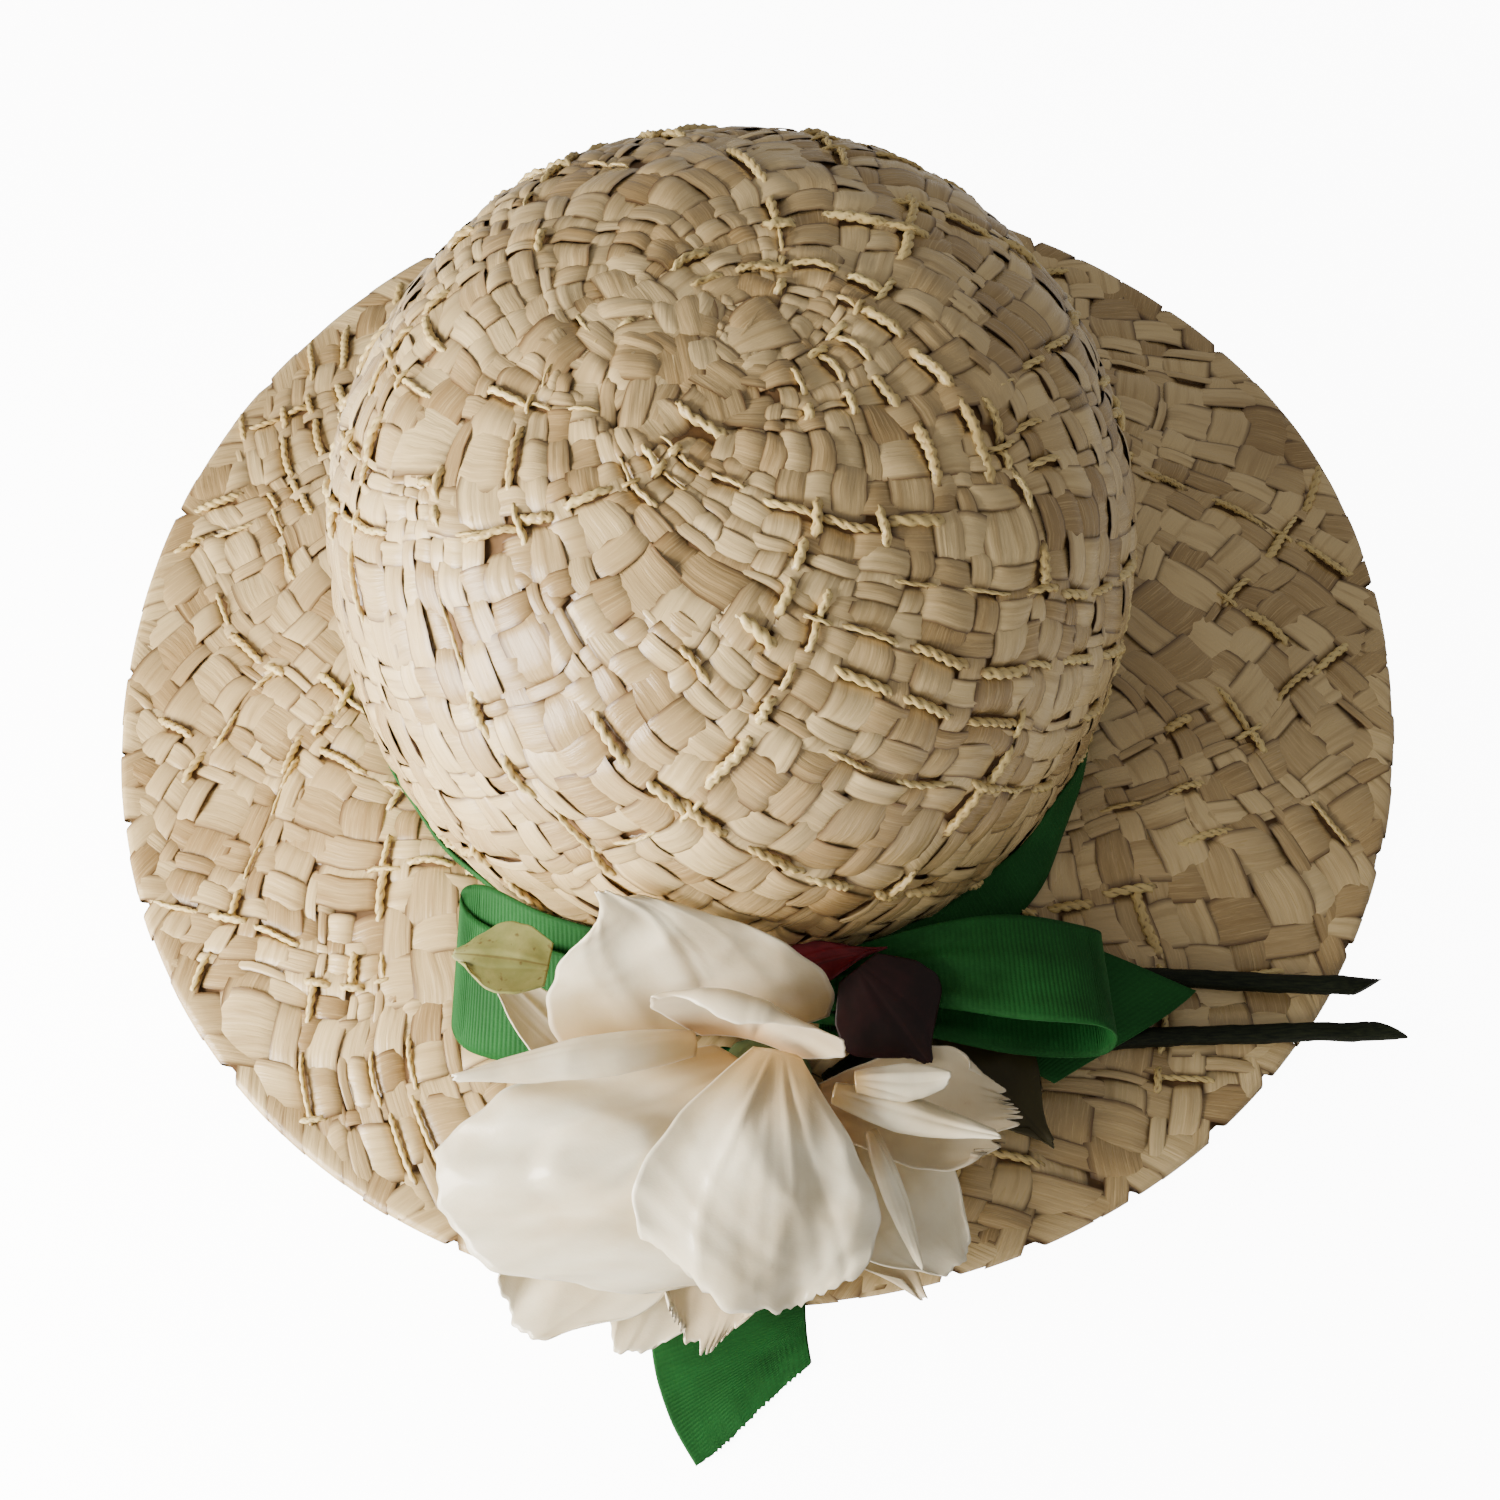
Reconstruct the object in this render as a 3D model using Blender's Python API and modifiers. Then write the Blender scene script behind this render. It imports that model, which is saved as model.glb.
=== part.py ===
"""Sun hat of woven straw: crown, brim, ribbon band tied in a bow, and a cloth rose with its leaves and stems.

Metres, +Z up, with the front of the hat towards -Y. The hat rests on the edge of its brim, on the plane z = 0.
"""

from collections import namedtuple
from math import atan2, cos, hypot, pi, radians, sin, sqrt

import bmesh
import bpy
from mathutils import Vector

# Straw
STRAW_WALL = 0.0020
CROWN_RADIUS = 0.0978  # outside, where the crown is widest
CROWN_FOOT_RADIUS = 0.0915  # outside, where the crown meets the brim
CROWN_LENGTHWAYS = 1.045  # front to back, as a share of side to side
CROWN_TOP = 0.1380
CROWN_WIDEST_HEIGHT = 0.0430
CROWN_ROUNDNESS = 2.75  # 2 is an ellipse, more is squarer in the shoulder
FOOT_ROUNDNESS = 1.4  # 1 is a straight slope in to the foot, 2 a rounder one
CROWN_SIDE = -0.0060  # the crown stands this far from the middle of the brim
CROWN_BACK = -0.0005
BRIM_RADIUS = 0.1745
BRIM_ROOT_HEIGHT = 0.0165  # top of the brim where the crown stands on it
BRIM_REST_WIDTH = 0.0060  # the flat of the brim's edge, which lies on the table
BRIM_LIFT = 0.0030
LIFT_START = 0.3  # how far out across the brim it begins to lift
BRIM_SWEEP = 0.45  # how much of the brim's fall is a soft S, the rest being a straight slope
SEAM_GAP = 0.0003
CROWN_SEAM = 0.0007  # outside, between the crown's top and its side; the wall closes it inside

# Ribbon
RIBBON_WIDTH = 0.0360
RIBBON_THICKNESS = 0.0010
BAND_WIDTH = 0.0180  # the ribbon folded lengthways round the foot of the crown, where it opens
BAND_GATHER = 0.4  # how wide it is where it is gathered, as a share of that
BOW_REACH = 0.0800  # from the knot to the fold of each loop
BOW_SIDE = 0.0040
BOW_OUT = 0.0051  # the knot's middle is this far out from the front of the crown
KNOT_WIDTH = 0.0180
KNOT_DEPTH = 0.0130
KNOT_HEIGHT = 0.0170
KNOT_SOFTNESS = 0.74  # how much of the block is left once its corners are rounded

# Rose
ROSE_SIZE = 0.1000
ROSE_SIDE = 0.0020
ROSE_BACK = 0.26  # how far its hind leaves reach back from its middle, as a share of its size
ROSE_CLEAR = 0.0031  # from those leaves to the front of the crown
PETAL_THICKNESS = 0.0010
LEAF_THICKNESS = 0.0010
CALYX_RADIUS = 0.0120
CALYX_HEIGHT = 0.0248
CALYX_CLEAR = 0.0021  # from the middle line of the ribbon under it to the calyx's foot
STEM_RADIUS = 0.0025

AROUND_CALYX = 16
AROUND_CROWN = 56
AROUND_BRIM = 72
CROWN_STEPS = 10  # from the top down to the widest place
TOP_STEPS = 5  # those of them in the crown's top, down to its shoulder
FOOT_STEPS = 2  # from there down to the foot
BRIM_STEPS = 5
STEM_POINTS = 15

# The outline of the brim: share of the radius added, times a wave round the edge.
EdgeWave = namedtuple("EdgeWave", "waves share turn")
EDGE_WAVES = (
    EdgeWave(2, 0.0125, 78.0),
    EdgeWave(3, 0.0041, 13.0),
    EdgeWave(4, 0.0058, 45.0),
)

# Where the brim lifts off the table: heading, half width in degrees, share of BRIM_LIFT.
Lift = namedtuple("Lift", "heading spread share")
BRIM_LIFTS = (
    Lift(20.0, 34.0, 0.9),
    Lift(118.0, 30.0, 1.0),
    Lift(205.0, 32.0, 0.7),
)

# Where the band opens out on to the brim: heading, half width in degrees, how flat it lies as a share.
Flare = namedtuple("Flare", "heading spread share")
BAND_FLARE = Flare(-52.0, 50.0, 0.85)

# Ribbons: side and out from the knot in shares of BOW_REACH, rise above the straw and width in shares
# of RIBBON_WIDTH, and the way that the width points: its heading, and its tilt up from flat.
Station = namedtuple("Station", "side out rise width heading tilt")
LOOP_RIGHT = (
    Station(0.09, 0.01, 0.42, 0.30, 90.0, 30.0),
    Station(0.42, -0.04, 0.54, 0.50, 92.0, 10.0),
    Station(0.70, -0.04, 0.64, 0.78, 92.0, -8.0),
    Station(0.92, -0.03, 0.64, 0.88, 91.0, -20.0),
    Station(0.99, -0.02, 0.54, 0.88, 90.0, -16.0),
    Station(0.94, 0.00, 0.43, 0.88, 90.0, -8.0),
    Station(0.70, 0.01, 0.40, 0.78, 90.0, 0.0),
    Station(0.42, 0.02, 0.38, 0.50, 90.0, 4.0),
    Station(0.09, 0.02, 0.32, 0.30, 90.0, 10.0),
)
LOOP_LEFT = (
    Station(-0.085, 0.00, 0.42, 0.36, 90.0, 60.0),
    Station(-0.40, -0.01, 0.48, 0.62, 90.0, 60.0),
    Station(-0.66, -0.05, 0.42, 0.80, 88.0, 52.0),
    Station(-0.86, -0.12, 0.41, 0.90, 84.0, 48.0),
    Station(-0.94, -0.10, 0.39, 0.92, 82.0, 45.0),
    Station(-0.88, -0.02, 0.33, 0.90, 84.0, 40.0),
    Station(-0.66, 0.05, 0.35, 0.82, 88.0, 46.0),
    Station(-0.40, 0.07, 0.38, 0.60, 90.0, 54.0),
    Station(-0.085, 0.03, 0.30, 0.34, 90.0, 60.0),
)
TAIL_RIGHT = (
    Station(0.14, 0.05, 0.22, 0.36, 90.0, 4.0),
    Station(0.45, 0.01, 0.21, 0.54, 88.0, 2.0),
    Station(0.76, -0.03, 0.20, 0.94, 76.0, 2.0),
    Station(1.18, 0.13, 0.21, 1.05, 62.0, 4.0),
)
TAIL_RIGHT_CUT = 0.22  # how much sooner its front edge ends, as a share of its length
TAIL_FRONT = (
    Station(-0.04, 0.12, 0.04, 0.50, 180.0, 0.0),
    Station(-0.08, 0.35, 0.03, 0.90, 182.0, 0.0),
    Station(-0.12, 0.65, 0.04, 1.00, 186.0, 0.0),
    Station(-0.12, 0.92, 0.04, 1.00, 192.0, 0.0),
    Station(-0.08, 1.10, 0.03, 0.95, 194.0, 0.0),
    Station(-0.01, 1.24, 0.03, 0.90, 194.0, 0.0),
)
TAIL_FRONT_CUT = 0.25

CUT_START = 0.4  # how far along a tail its slanted end begins to shorten it

# Stems: side and out from the rose's middle in shares of ROSE_SIZE, rise in shares of STEM_RADIUS.
StemPoint = namedtuple("StemPoint", "side out rise")
STEM_UPPER = (
    StemPoint(0.15, -0.05, 2.6),
    StemPoint(0.34, -0.18, 1.4),
    StemPoint(0.62, -0.29, 1.2),
    StemPoint(0.92, -0.345, 1.4),
    StemPoint(1.49, -0.34, 2.6),
)
STEM_LOWER = (
    StemPoint(0.16, 0.00, 2.6),
    StemPoint(0.40, -0.08, 1.3),
    StemPoint(0.66, -0.15, 1.2),
    StemPoint(0.96, -0.20, 1.4),
    StemPoint(1.53, -0.23, 2.6),
)

# The calyx from its top to its foot, in shares of CALYX_RADIUS and CALYX_HEIGHT.
Ring = namedtuple("Ring", "radius height")
CALYX_RINGS = (
    Ring(0.0, 1.0),
    Ring(0.6, 0.96),
    Ring(0.9, 0.78),
    Ring(1.0, 0.55),
    Ring(0.8, 0.20),
    Ring(0.5, 0.0),
    Ring(0.0, 0.0),
)

# Petals and leaves. Place: side, out and rise of the root from the rose's middle in shares of ROSE_SIZE,
# heading in which it grows, slope at the root and at the tip, and how far it banks about its length.
Place = namedtuple("Place", "side out rise heading root_slope tip_slope bank")
# Outline: length and width in shares of ROSE_SIZE, width of the root and of the tip in shares of the width,
# where along it is widest, and how far the tip leans sideways in shares of the width.
Outline = namedtuple("Outline", "length width root tip widest lean")
# Curl in degrees: the cup across, the roll of each long edge and of the tip; ruffle in shares of ROSE_SIZE.
Curl = namedtuple("Curl", "cup left right end ruffle")

PETALS = {
    "petal_back": (
        Place(-0.155, -0.100, 0.240, 96.0, 62.0, 74.0, 0.0),
        Outline(0.48, 0.66, 0.96, 0.16, 0.10, 0.26),
        Curl(0.0, -10.0, -24.0, 6.0, 0.004),
    ),
    "petal_left": (
        Place(-0.430, -0.060, 0.190, 140.0, 32.0, 36.0, 0.0),
        Outline(0.34, 0.15, 0.90, 0.12, 0.10, 0.10),
        Curl(12.0, 8.0, 8.0, 0.0, 0.003),
    ),
    "petal_left_fold": (
        Place(-0.150, -0.030, 0.400, 191.0, 18.0, -16.0, 4.0),
        Outline(0.55, 0.20, 0.60, 0.25, 0.35, 0.0),
        Curl(-60.0, -34.0, -34.0, 0.0, 0.004),
    ),
    "petal_heart": (
        Place(-0.030, -0.055, 0.330, -104.0, 98.0, 80.0, 0.0),
        Outline(0.28, 0.45, 0.50, 0.90, 0.60, 0.0),
        Curl(-10.0, 0.0, 0.0, -120.0, 0.004),
    ),
    "petal_front_left": (
        Place(-0.010, 0.020, 0.305, -126.0, 15.0, -42.0, -10.0),
        Outline(0.68, 0.72, 0.36, 0.84, 0.62, -0.38),
        Curl(-12.0, -30.0, -8.0, 8.0, 0.006),
    ),
    "petal_front_right": (
        Place(0.03, 0.005, 0.42, -98.0, 4.0, -54.0, -8.0),
        Outline(0.59, 0.53, 0.50, 0.80, 0.55, 0.12),
        Curl(-12.0, -10.0, 30.0, 10.0, 0.006),
    ),
    "petal_right_fold": (
        Place(0.155, 0.055, 0.310, -16.0, 6.0, -4.0, 0.0),
        Outline(0.38, 0.17, 0.55, 0.30, 0.40, 0.0),
        Curl(-58.0, -30.0, -30.0, 0.0, 0.004),
    ),
    "petal_right_curl": (
        Place(0.200, 0.050, 0.365, 2.0, 12.0, -10.0, 0.0),
        Outline(0.21, 0.15, 0.55, 0.60, 0.55, 0.0),
        Curl(-50.0, -20.0, -20.0, 0.0, 0.003),
    ),
    "petal_right_back": (
        Place(0.125, 0.040, 0.150, -4.0, 4.0, 4.0, 0.0),
        Outline(0.46, 0.32, 0.35, 0.70, 0.70, 0.0),
        Curl(16.0, 14.0, 14.0, 0.0, 0.008),
    ),
    "petal_right_low": (
        Place(0.120, 0.080, 0.105, -42.0, 0.0, -12.0, 0.0),
        Outline(0.45, 0.30, 0.30, 0.55, 0.66, 0.0),
        Curl(10.0, 8.0, 8.0, 0.0, 0.006),
    ),
    "petal_right_ridge": (
        Place(0.240, 0.130, 0.260, -68.0, -8.0, -36.0, 0.0),
        Outline(0.32, 0.11, 0.50, 0.30, 0.40, 0.0),
        Curl(-60.0, -20.0, -20.0, 0.0, 0.003),
    ),
    "petal_front_tip": (
        Place(0.058, 0.076, 0.070, -50.0, 0.0, -10.0, 0.0),
        Outline(0.49, 0.20, 0.30, 0.16, 0.60, 0.0),
        Curl(12.0, 8.0, 8.0, 0.0, 0.006),
    ),
    "petal_low_left": (
        Place(-0.14, 0.06, 0.08, -132.0, 0.0, -5.0, 0.0),
        Outline(0.62, 0.42, 0.24, 0.56, 0.66, 0.0),
        Curl(8.0, 6.0, 6.0, 0.0, 0.006),
    ),
    "petal_low_centre": (
        Place(-0.020, 0.130, 0.137, -106.0, 0.0, -12.0, 0.0),
        Outline(0.47, 0.26, 0.30, 0.60, 0.66, 0.0),
        Curl(6.0, 6.0, 6.0, 0.0, 0.004),
    ),
    "petal_low_front": (
        Place(-0.055, 0.072, 0.050, -117.0, 0.0, -8.0, 0.0),
        Outline(0.56, 0.32, 0.30, 0.50, 0.66, 0.0),
        Curl(6.0, 6.0, 6.0, 0.0, 0.005),
    ),
}

BIG_PETAL = 0.15  # length times width, past which a petal has more facets
BIG_PETAL_FACETS = 8
PETAL_FACETS = 6
TIP_ROUNDING = 0.16
TIP_CURL_START = 0.72  # how far along a petal its tip begins to curl
ROLL_START = 0.62  # how far out across a petal its edge begins to roll
RUFFLE_WAVES = 5.0
BEND_STEPS = 24

LEAVES = {
    "leaf_red": (
        Place(-0.04, -0.225, 0.25, 12.0, 14.0, 4.0, 0.0),
        Outline(0.33, 0.12, 0.30, 0.05, 0.45, 0.0),
        Curl(14.0, 0.0, 0.0, 0.0, 0.002),
    ),
    "leaf_dark": (
        Place(0.215, -0.240, 0.310, -50.0, -14.0, -26.0, 10.0),
        Outline(0.27, 0.28, 0.40, 0.20, 0.50, 0.0),
        Curl(-10.0, 0.0, 0.0, 0.0, 0.003),
    ),
    "leaf_olive": (
        Place(0.380, -0.220, 0.125, -50.0, -6.0, -12.0, 0.0),
        Outline(0.44, 0.28, 0.30, 0.10, 0.45, 0.10),
        Curl(2.0, 0.0, 0.0, 0.0, 0.003),
    ),
    "leaf_pale": (
        Place(-0.485, -0.200, 0.400, 172.0, 4.0, -8.0, 0.0),
        Outline(0.22, 0.18, 0.60, 0.30, 0.45, 0.0),
        Curl(10.0, 0.0, 0.0, 0.0, 0.003),
    ),
}

Finish = namedtuple("Finish", "red green blue roughness")
STRAW = Finish(0.62, 0.52, 0.36, 0.45)
GREEN_RIBBON = Finish(0.006, 0.120, 0.024, 0.55)
PETAL_WHITE = Finish(0.78, 0.72, 0.61, 0.40)
CALYX_GREEN = Finish(0.10, 0.14, 0.04, 0.60)
STEM_GREEN = Finish(0.010, 0.012, 0.006, 0.40)
LEAF_FINISHES = {
    "leaf_red": Finish(0.20, 0.012, 0.016, 0.40),
    "leaf_dark": Finish(0.030, 0.012, 0.012, 0.45),
    "leaf_olive": Finish(0.055, 0.045, 0.012, 0.50),
    "leaf_pale": Finish(0.34, 0.34, 0.16, 0.50),
}


def clear_scene():
    for item in list(bpy.data.objects):
        bpy.data.objects.remove(item, do_unlink=True)


def collection_named(name):
    collection = bpy.data.collections.new(name)
    bpy.context.scene.collection.children.link(collection)
    return collection


def material_named(name, finish):
    material = bpy.data.materials.new(name)
    material.use_nodes = True
    shader = material.node_tree.nodes["Principled BSDF"]
    shader.inputs["Base Color"].default_value = (finish.red, finish.green, finish.blue, 1.0)
    shader.inputs["Roughness"].default_value = finish.roughness
    shader.inputs["Metallic"].default_value = 0.0
    return material


def ease(share):
    share = min(max(share, 0.0), 1.0)
    return share * share * (3.0 - 2.0 * share)


def turn_between(heading, other):
    return abs((heading - other + 180.0) % 360.0 - 180.0)


def bump(heading, wave):
    return ease(1.0 - turn_between(heading, wave.heading) / wave.spread) * wave.share


def brim_radius(heading):
    waves = sum(wave.share * cos(radians(wave.waves * (heading - wave.turn))) for wave in EDGE_WAVES)
    return BRIM_RADIUS * (1.0 + waves)


def brim_lift(heading):
    return BRIM_LIFT * sum(bump(heading, lift) for lift in BRIM_LIFTS)


def crown_radius(height):
    """The crown's outside radius at a height, side to side."""
    if height < CROWN_WIDEST_HEIGHT:
        share = (CROWN_WIDEST_HEIGHT - height) / (CROWN_WIDEST_HEIGHT - BRIM_ROOT_HEIGHT)
        return CROWN_RADIUS + (CROWN_FOOT_RADIUS - CROWN_RADIUS) * share**FOOT_ROUNDNESS
    share = (height - CROWN_WIDEST_HEIGHT) / (CROWN_TOP - CROWN_WIDEST_HEIGHT)
    return CROWN_RADIUS * (1.0 - min(share, 1.0) ** CROWN_ROUNDNESS) ** (1.0 / CROWN_ROUNDNESS)


def crown_place(turn, radius, height):
    """A place round the crown, which is a little longer than it is wide."""
    x = CROWN_SIDE + radius * cos(turn)
    y = CROWN_BACK + CROWN_LENGTHWAYS * radius * sin(turn)
    return Vector((x, y, height))


def brim_point(heading, share):
    """The top of the brim, from the crown's inner wall (0) to the edge (1)."""
    turn = radians(heading)
    inner = CROWN_FOOT_RADIUS - STRAW_WALL
    start = crown_place(turn, inner, 0.0)
    radius = brim_radius(heading)
    end = Vector((radius * cos(turn), radius * sin(turn), 0.0))
    point = start.lerp(end, share)
    flat = BRIM_REST_WIDTH / (BRIM_RADIUS - CROWN_FOOT_RADIUS)
    slope = 1.0 - min(share / (1.0 - flat), 1.0)
    fall = BRIM_SWEEP * ease(slope) + (1.0 - BRIM_SWEEP) * slope
    lift = brim_lift(heading) * ease((share - LIFT_START) / (1.0 - LIFT_START))
    point.z = STRAW_WALL + (BRIM_ROOT_HEIGHT - STRAW_WALL) * fall + lift
    return point


def ground(x, y):
    """Height of the straw's top, or of the table past the brim's edge, under a place in front of the crown."""
    heading = atan2(y, x) * 180.0 / pi
    edge = brim_radius(heading)
    inner = hypot(x - CROWN_SIDE, (y - CROWN_BACK) / CROWN_LENGTHWAYS)
    start = CROWN_FOOT_RADIUS - STRAW_WALL
    share = (inner - start) / (inner - start + max(edge - hypot(x, y), 0.0))
    past = hypot(x, y) - edge
    if past <= 0.0:
        return brim_point(heading, min(max(share, 0.0), 1.0)).z
    return brim_point(heading, 1.0).z * (1.0 - ease(past / (5.0 * STRAW_WALL)))


def add_solidify(item, thickness, offset):
    wall = item.modifiers.new("Wall", "SOLIDIFY")
    wall.thickness = thickness
    wall.offset = offset
    wall.use_rim = True


def finish_object(item, collection, parent, material):
    collection.objects.link(item)
    item.parent = parent
    item.data.materials.append(material)
    if item.type == "MESH":
        item.data.shade_smooth()


def bent_sheet(name, place, columns, rows, closed=False):
    """A flat grid bent by place(u, v), with u and v from 0 to 1. A closed one joins its two u ends."""
    shape = bmesh.new()
    bmesh.ops.create_grid(shape, x_segments=columns, y_segments=rows, size=0.5)
    for corner in shape.verts:
        corner.co = place(corner.co.x + 0.5, corner.co.y + 0.5)
    if closed:
        bmesh.ops.remove_doubles(shape, verts=shape.verts, dist=1e-6)
    mesh = bpy.data.meshes.new(name)
    shape.to_mesh(mesh)
    shape.free()
    return bpy.data.objects.new(name, mesh)


def crown_point(around, down):
    """A place on the crown's outside, once round it and from its top (0) to its foot (1)."""
    foot = BRIM_ROOT_HEIGHT + SEAM_GAP
    dome_share = CROWN_STEPS / (CROWN_STEPS + FOOT_STEPS)
    if down < dome_share:
        turn = 0.5 * pi * (1.0 - down / dome_share)
        height = CROWN_WIDEST_HEIGHT + (CROWN_TOP - CROWN_WIDEST_HEIGHT) * sin(turn) ** (2.0 / CROWN_ROUNDNESS)
        radius = CROWN_RADIUS * cos(turn) ** (2.0 / CROWN_ROUNDNESS)
    else:
        height = CROWN_WIDEST_HEIGHT + (foot - CROWN_WIDEST_HEIGHT) * (down - dome_share) / (1.0 - dome_share)
        radius = crown_radius(height)
    return crown_place(-2.0 * pi * around, radius, height)


def make_crown(collection, parent, material):
    """A dome, open below, whose top and side meet at the shoulder and whose foot stands on the brim."""
    steps = CROWN_STEPS + FOOT_STEPS
    shoulder = TOP_STEPS / steps
    step_length = (crown_point(0.0, shoulder + 1.0 / steps) - crown_point(0.0, shoulder)).length
    below_seam = shoulder + CROWN_SEAM / (step_length * steps)
    for name, first, last, rows in (
        ("crown_top", 0.0, shoulder, TOP_STEPS),
        ("crown_side", below_seam, 1.0, steps - TOP_STEPS),
    ):

        def place(around, across):
            return crown_point(around, first + (last - first) * across)

        piece = bent_sheet(name, place, AROUND_CROWN, rows, closed=True)
        add_solidify(piece, STRAW_WALL, -1.0)
        finish_object(piece, collection, parent, material)


def make_brim(collection, parent, material):
    """A wavy ring from under the crown's foot to the edge, which lies on the table but where it lifts."""
    flat = BRIM_REST_WIDTH / (BRIM_RADIUS - CROWN_FOOT_RADIUS)
    slope_rows = (BRIM_STEPS - 1) / BRIM_STEPS

    def place(around, across):
        if across > slope_rows:
            across = 1.0 - flat * (1.0 - across) * BRIM_STEPS
        else:
            across *= (1.0 - flat) / slope_rows
        return brim_point(-360.0 * around, across)

    brim = bent_sheet("brim", place, AROUND_BRIM, BRIM_STEPS, closed=True)
    add_solidify(brim, STRAW_WALL, -1.0)
    finish_object(brim, collection, parent, material)


def make_band(collection, parent, material):
    """The ribbon round the foot of the crown, whose lower edge stands out on the brim at the front right."""
    clear = SEAM_GAP + 0.5 * RIBBON_THICKNESS
    chord = CROWN_RADIUS * (1.0 - cos(pi / AROUND_CROWN))
    brim_width = BRIM_RADIUS - CROWN_FOOT_RADIUS

    def place(around, across):
        heading = 360.0 * around
        opened = bump(heading, BAND_FLARE)
        width = BAND_WIDTH * (BAND_GATHER + (1.0 - BAND_GATHER) * opened)
        flare = width * opened
        rise = sqrt(width**2 - flare**2)
        foot = brim_point(heading, (flare + STRAW_WALL) / brim_width).z + clear
        height = foot + rise * across
        radius = crown_radius(max(height, BRIM_ROOT_HEIGHT)) + clear + chord
        radius += flare * (1.0 - across)
        return crown_place(radians(heading), radius, height)

    band = bent_sheet("ribbon_band", place, AROUND_CROWN, 3, closed=True)
    add_solidify(band, RIBBON_THICKNESS, 0.0)
    finish_object(band, collection, parent, material)


def crown_front():
    return CROWN_BACK - CROWN_LENGTHWAYS * max(CROWN_RADIUS, CROWN_FOOT_RADIUS)


def bow_middle():
    return Vector((BOW_SIDE, crown_front() - BOW_OUT, 0.0))


def between(before, first, second, after, share):
    """A smooth curve between two values, by the slopes that their neighbours give."""
    slope_first = 0.5 * (second - before)
    slope_second = 0.5 * (after - first)
    rest = second - first
    cube = slope_first + slope_second - 2.0 * rest
    square = 3.0 * rest - 2.0 * slope_first - slope_second
    return first + share * (slope_first + share * (square + share * cube))


def along_rows(rows, share):
    """All columns of a table at a share of the way down it."""
    at = min(max(share, 0.0), 1.0) * (len(rows) - 1)
    low = min(int(at), len(rows) - 2)
    picks = [rows[min(max(low + step, 0), len(rows) - 1)] for step in (-1, 0, 1, 2)]
    return type(rows[0])(*(between(*values, at - low) for values in zip(*picks)))


def ribbon_point(rows, along, across, cut):
    """A point of a ribbon: along it from 0 to 1, and across it from -1 to 1, with its end cut on the slant."""
    middle = bow_middle()
    slant = 0.5 * cut * (1.0 - across) * ease((along - CUT_START) / (1.0 - CUT_START))
    station = along_rows(rows, along * (1.0 - slant))
    x = middle.x + BOW_REACH * station.side
    y = middle.y - BOW_REACH * station.out
    half = 0.5 * RIBBON_WIDTH * station.width * across
    tilt = radians(station.tilt)
    heading = radians(station.heading)
    level = ground(x, y) + RIBBON_WIDTH * station.rise
    return Vector((
        x + half * cos(tilt) * cos(heading),
        y + half * cos(tilt) * sin(heading),
        level + half * sin(tilt),
    ))


def make_ribbon(name, rows, columns, cut, collection, parent, material):
    def place(along, across):
        return ribbon_point(rows, along, 2.0 * across - 1.0, cut)

    ribbon = bent_sheet(name, place, columns, 3)
    add_solidify(ribbon, RIBBON_THICKNESS, 0.0)
    finish_object(ribbon, collection, parent, material)


def make_knot(collection, parent, material):
    """The turn of ribbon that gathers the bow, a soft block with pulled-in sides."""
    shape = bmesh.new()
    bmesh.ops.create_cube(shape, size=1.0)
    middle = bow_middle()
    level = ground(middle.x, middle.y) + KNOT_SOFTNESS * 0.5 * KNOT_HEIGHT + RIBBON_THICKNESS
    for corner in shape.verts:
        corner.co = Vector((
            corner.co.x * KNOT_WIDTH,
            corner.co.y * KNOT_DEPTH,
            corner.co.z * KNOT_HEIGHT,
        ))
    mesh = bpy.data.meshes.new("bow_knot")
    shape.to_mesh(mesh)
    shape.free()
    knot = bpy.data.objects.new("bow_knot", mesh)
    soft = knot.modifiers.new("Soft", "SUBSURF")
    soft.levels = 2
    soft.render_levels = 2
    knot.location = (middle.x, middle.y, level)
    finish_object(knot, collection, parent, material)


def rose_middle():
    x = ROSE_SIDE
    y = crown_front() - ROSE_BACK * ROSE_SIZE - ROSE_CLEAR
    return Vector((x, y, ground(x, y)))


def width_share(outline, along):
    if along < outline.widest:
        return outline.root + (1.0 - outline.root) * sin(0.5 * pi * along / outline.widest)
    past = (along - outline.widest) / (1.0 - outline.widest)
    return outline.tip + (1.0 - outline.tip) * cos(0.5 * pi * past)


def across_section(curl, reach):
    """Sideways and upward place across a petal, in shares of its half width: the cup and the rolled edges."""
    sideways = 0.0
    upward = 0.0
    side = 1.0 if reach >= 0.0 else -1.0
    roll = curl.left if reach >= 0.0 else curl.right
    step = abs(reach) / BEND_STEPS
    for index in range(BEND_STEPS):
        at = (index + 0.5) * step
        angle = radians(curl.cup) * at * 2.0 + radians(roll) * ease((at - ROLL_START) / (1.0 - ROLL_START))
        sideways += side * step * cos(angle)
        upward += step * sin(angle)
    return sideways, upward


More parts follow.
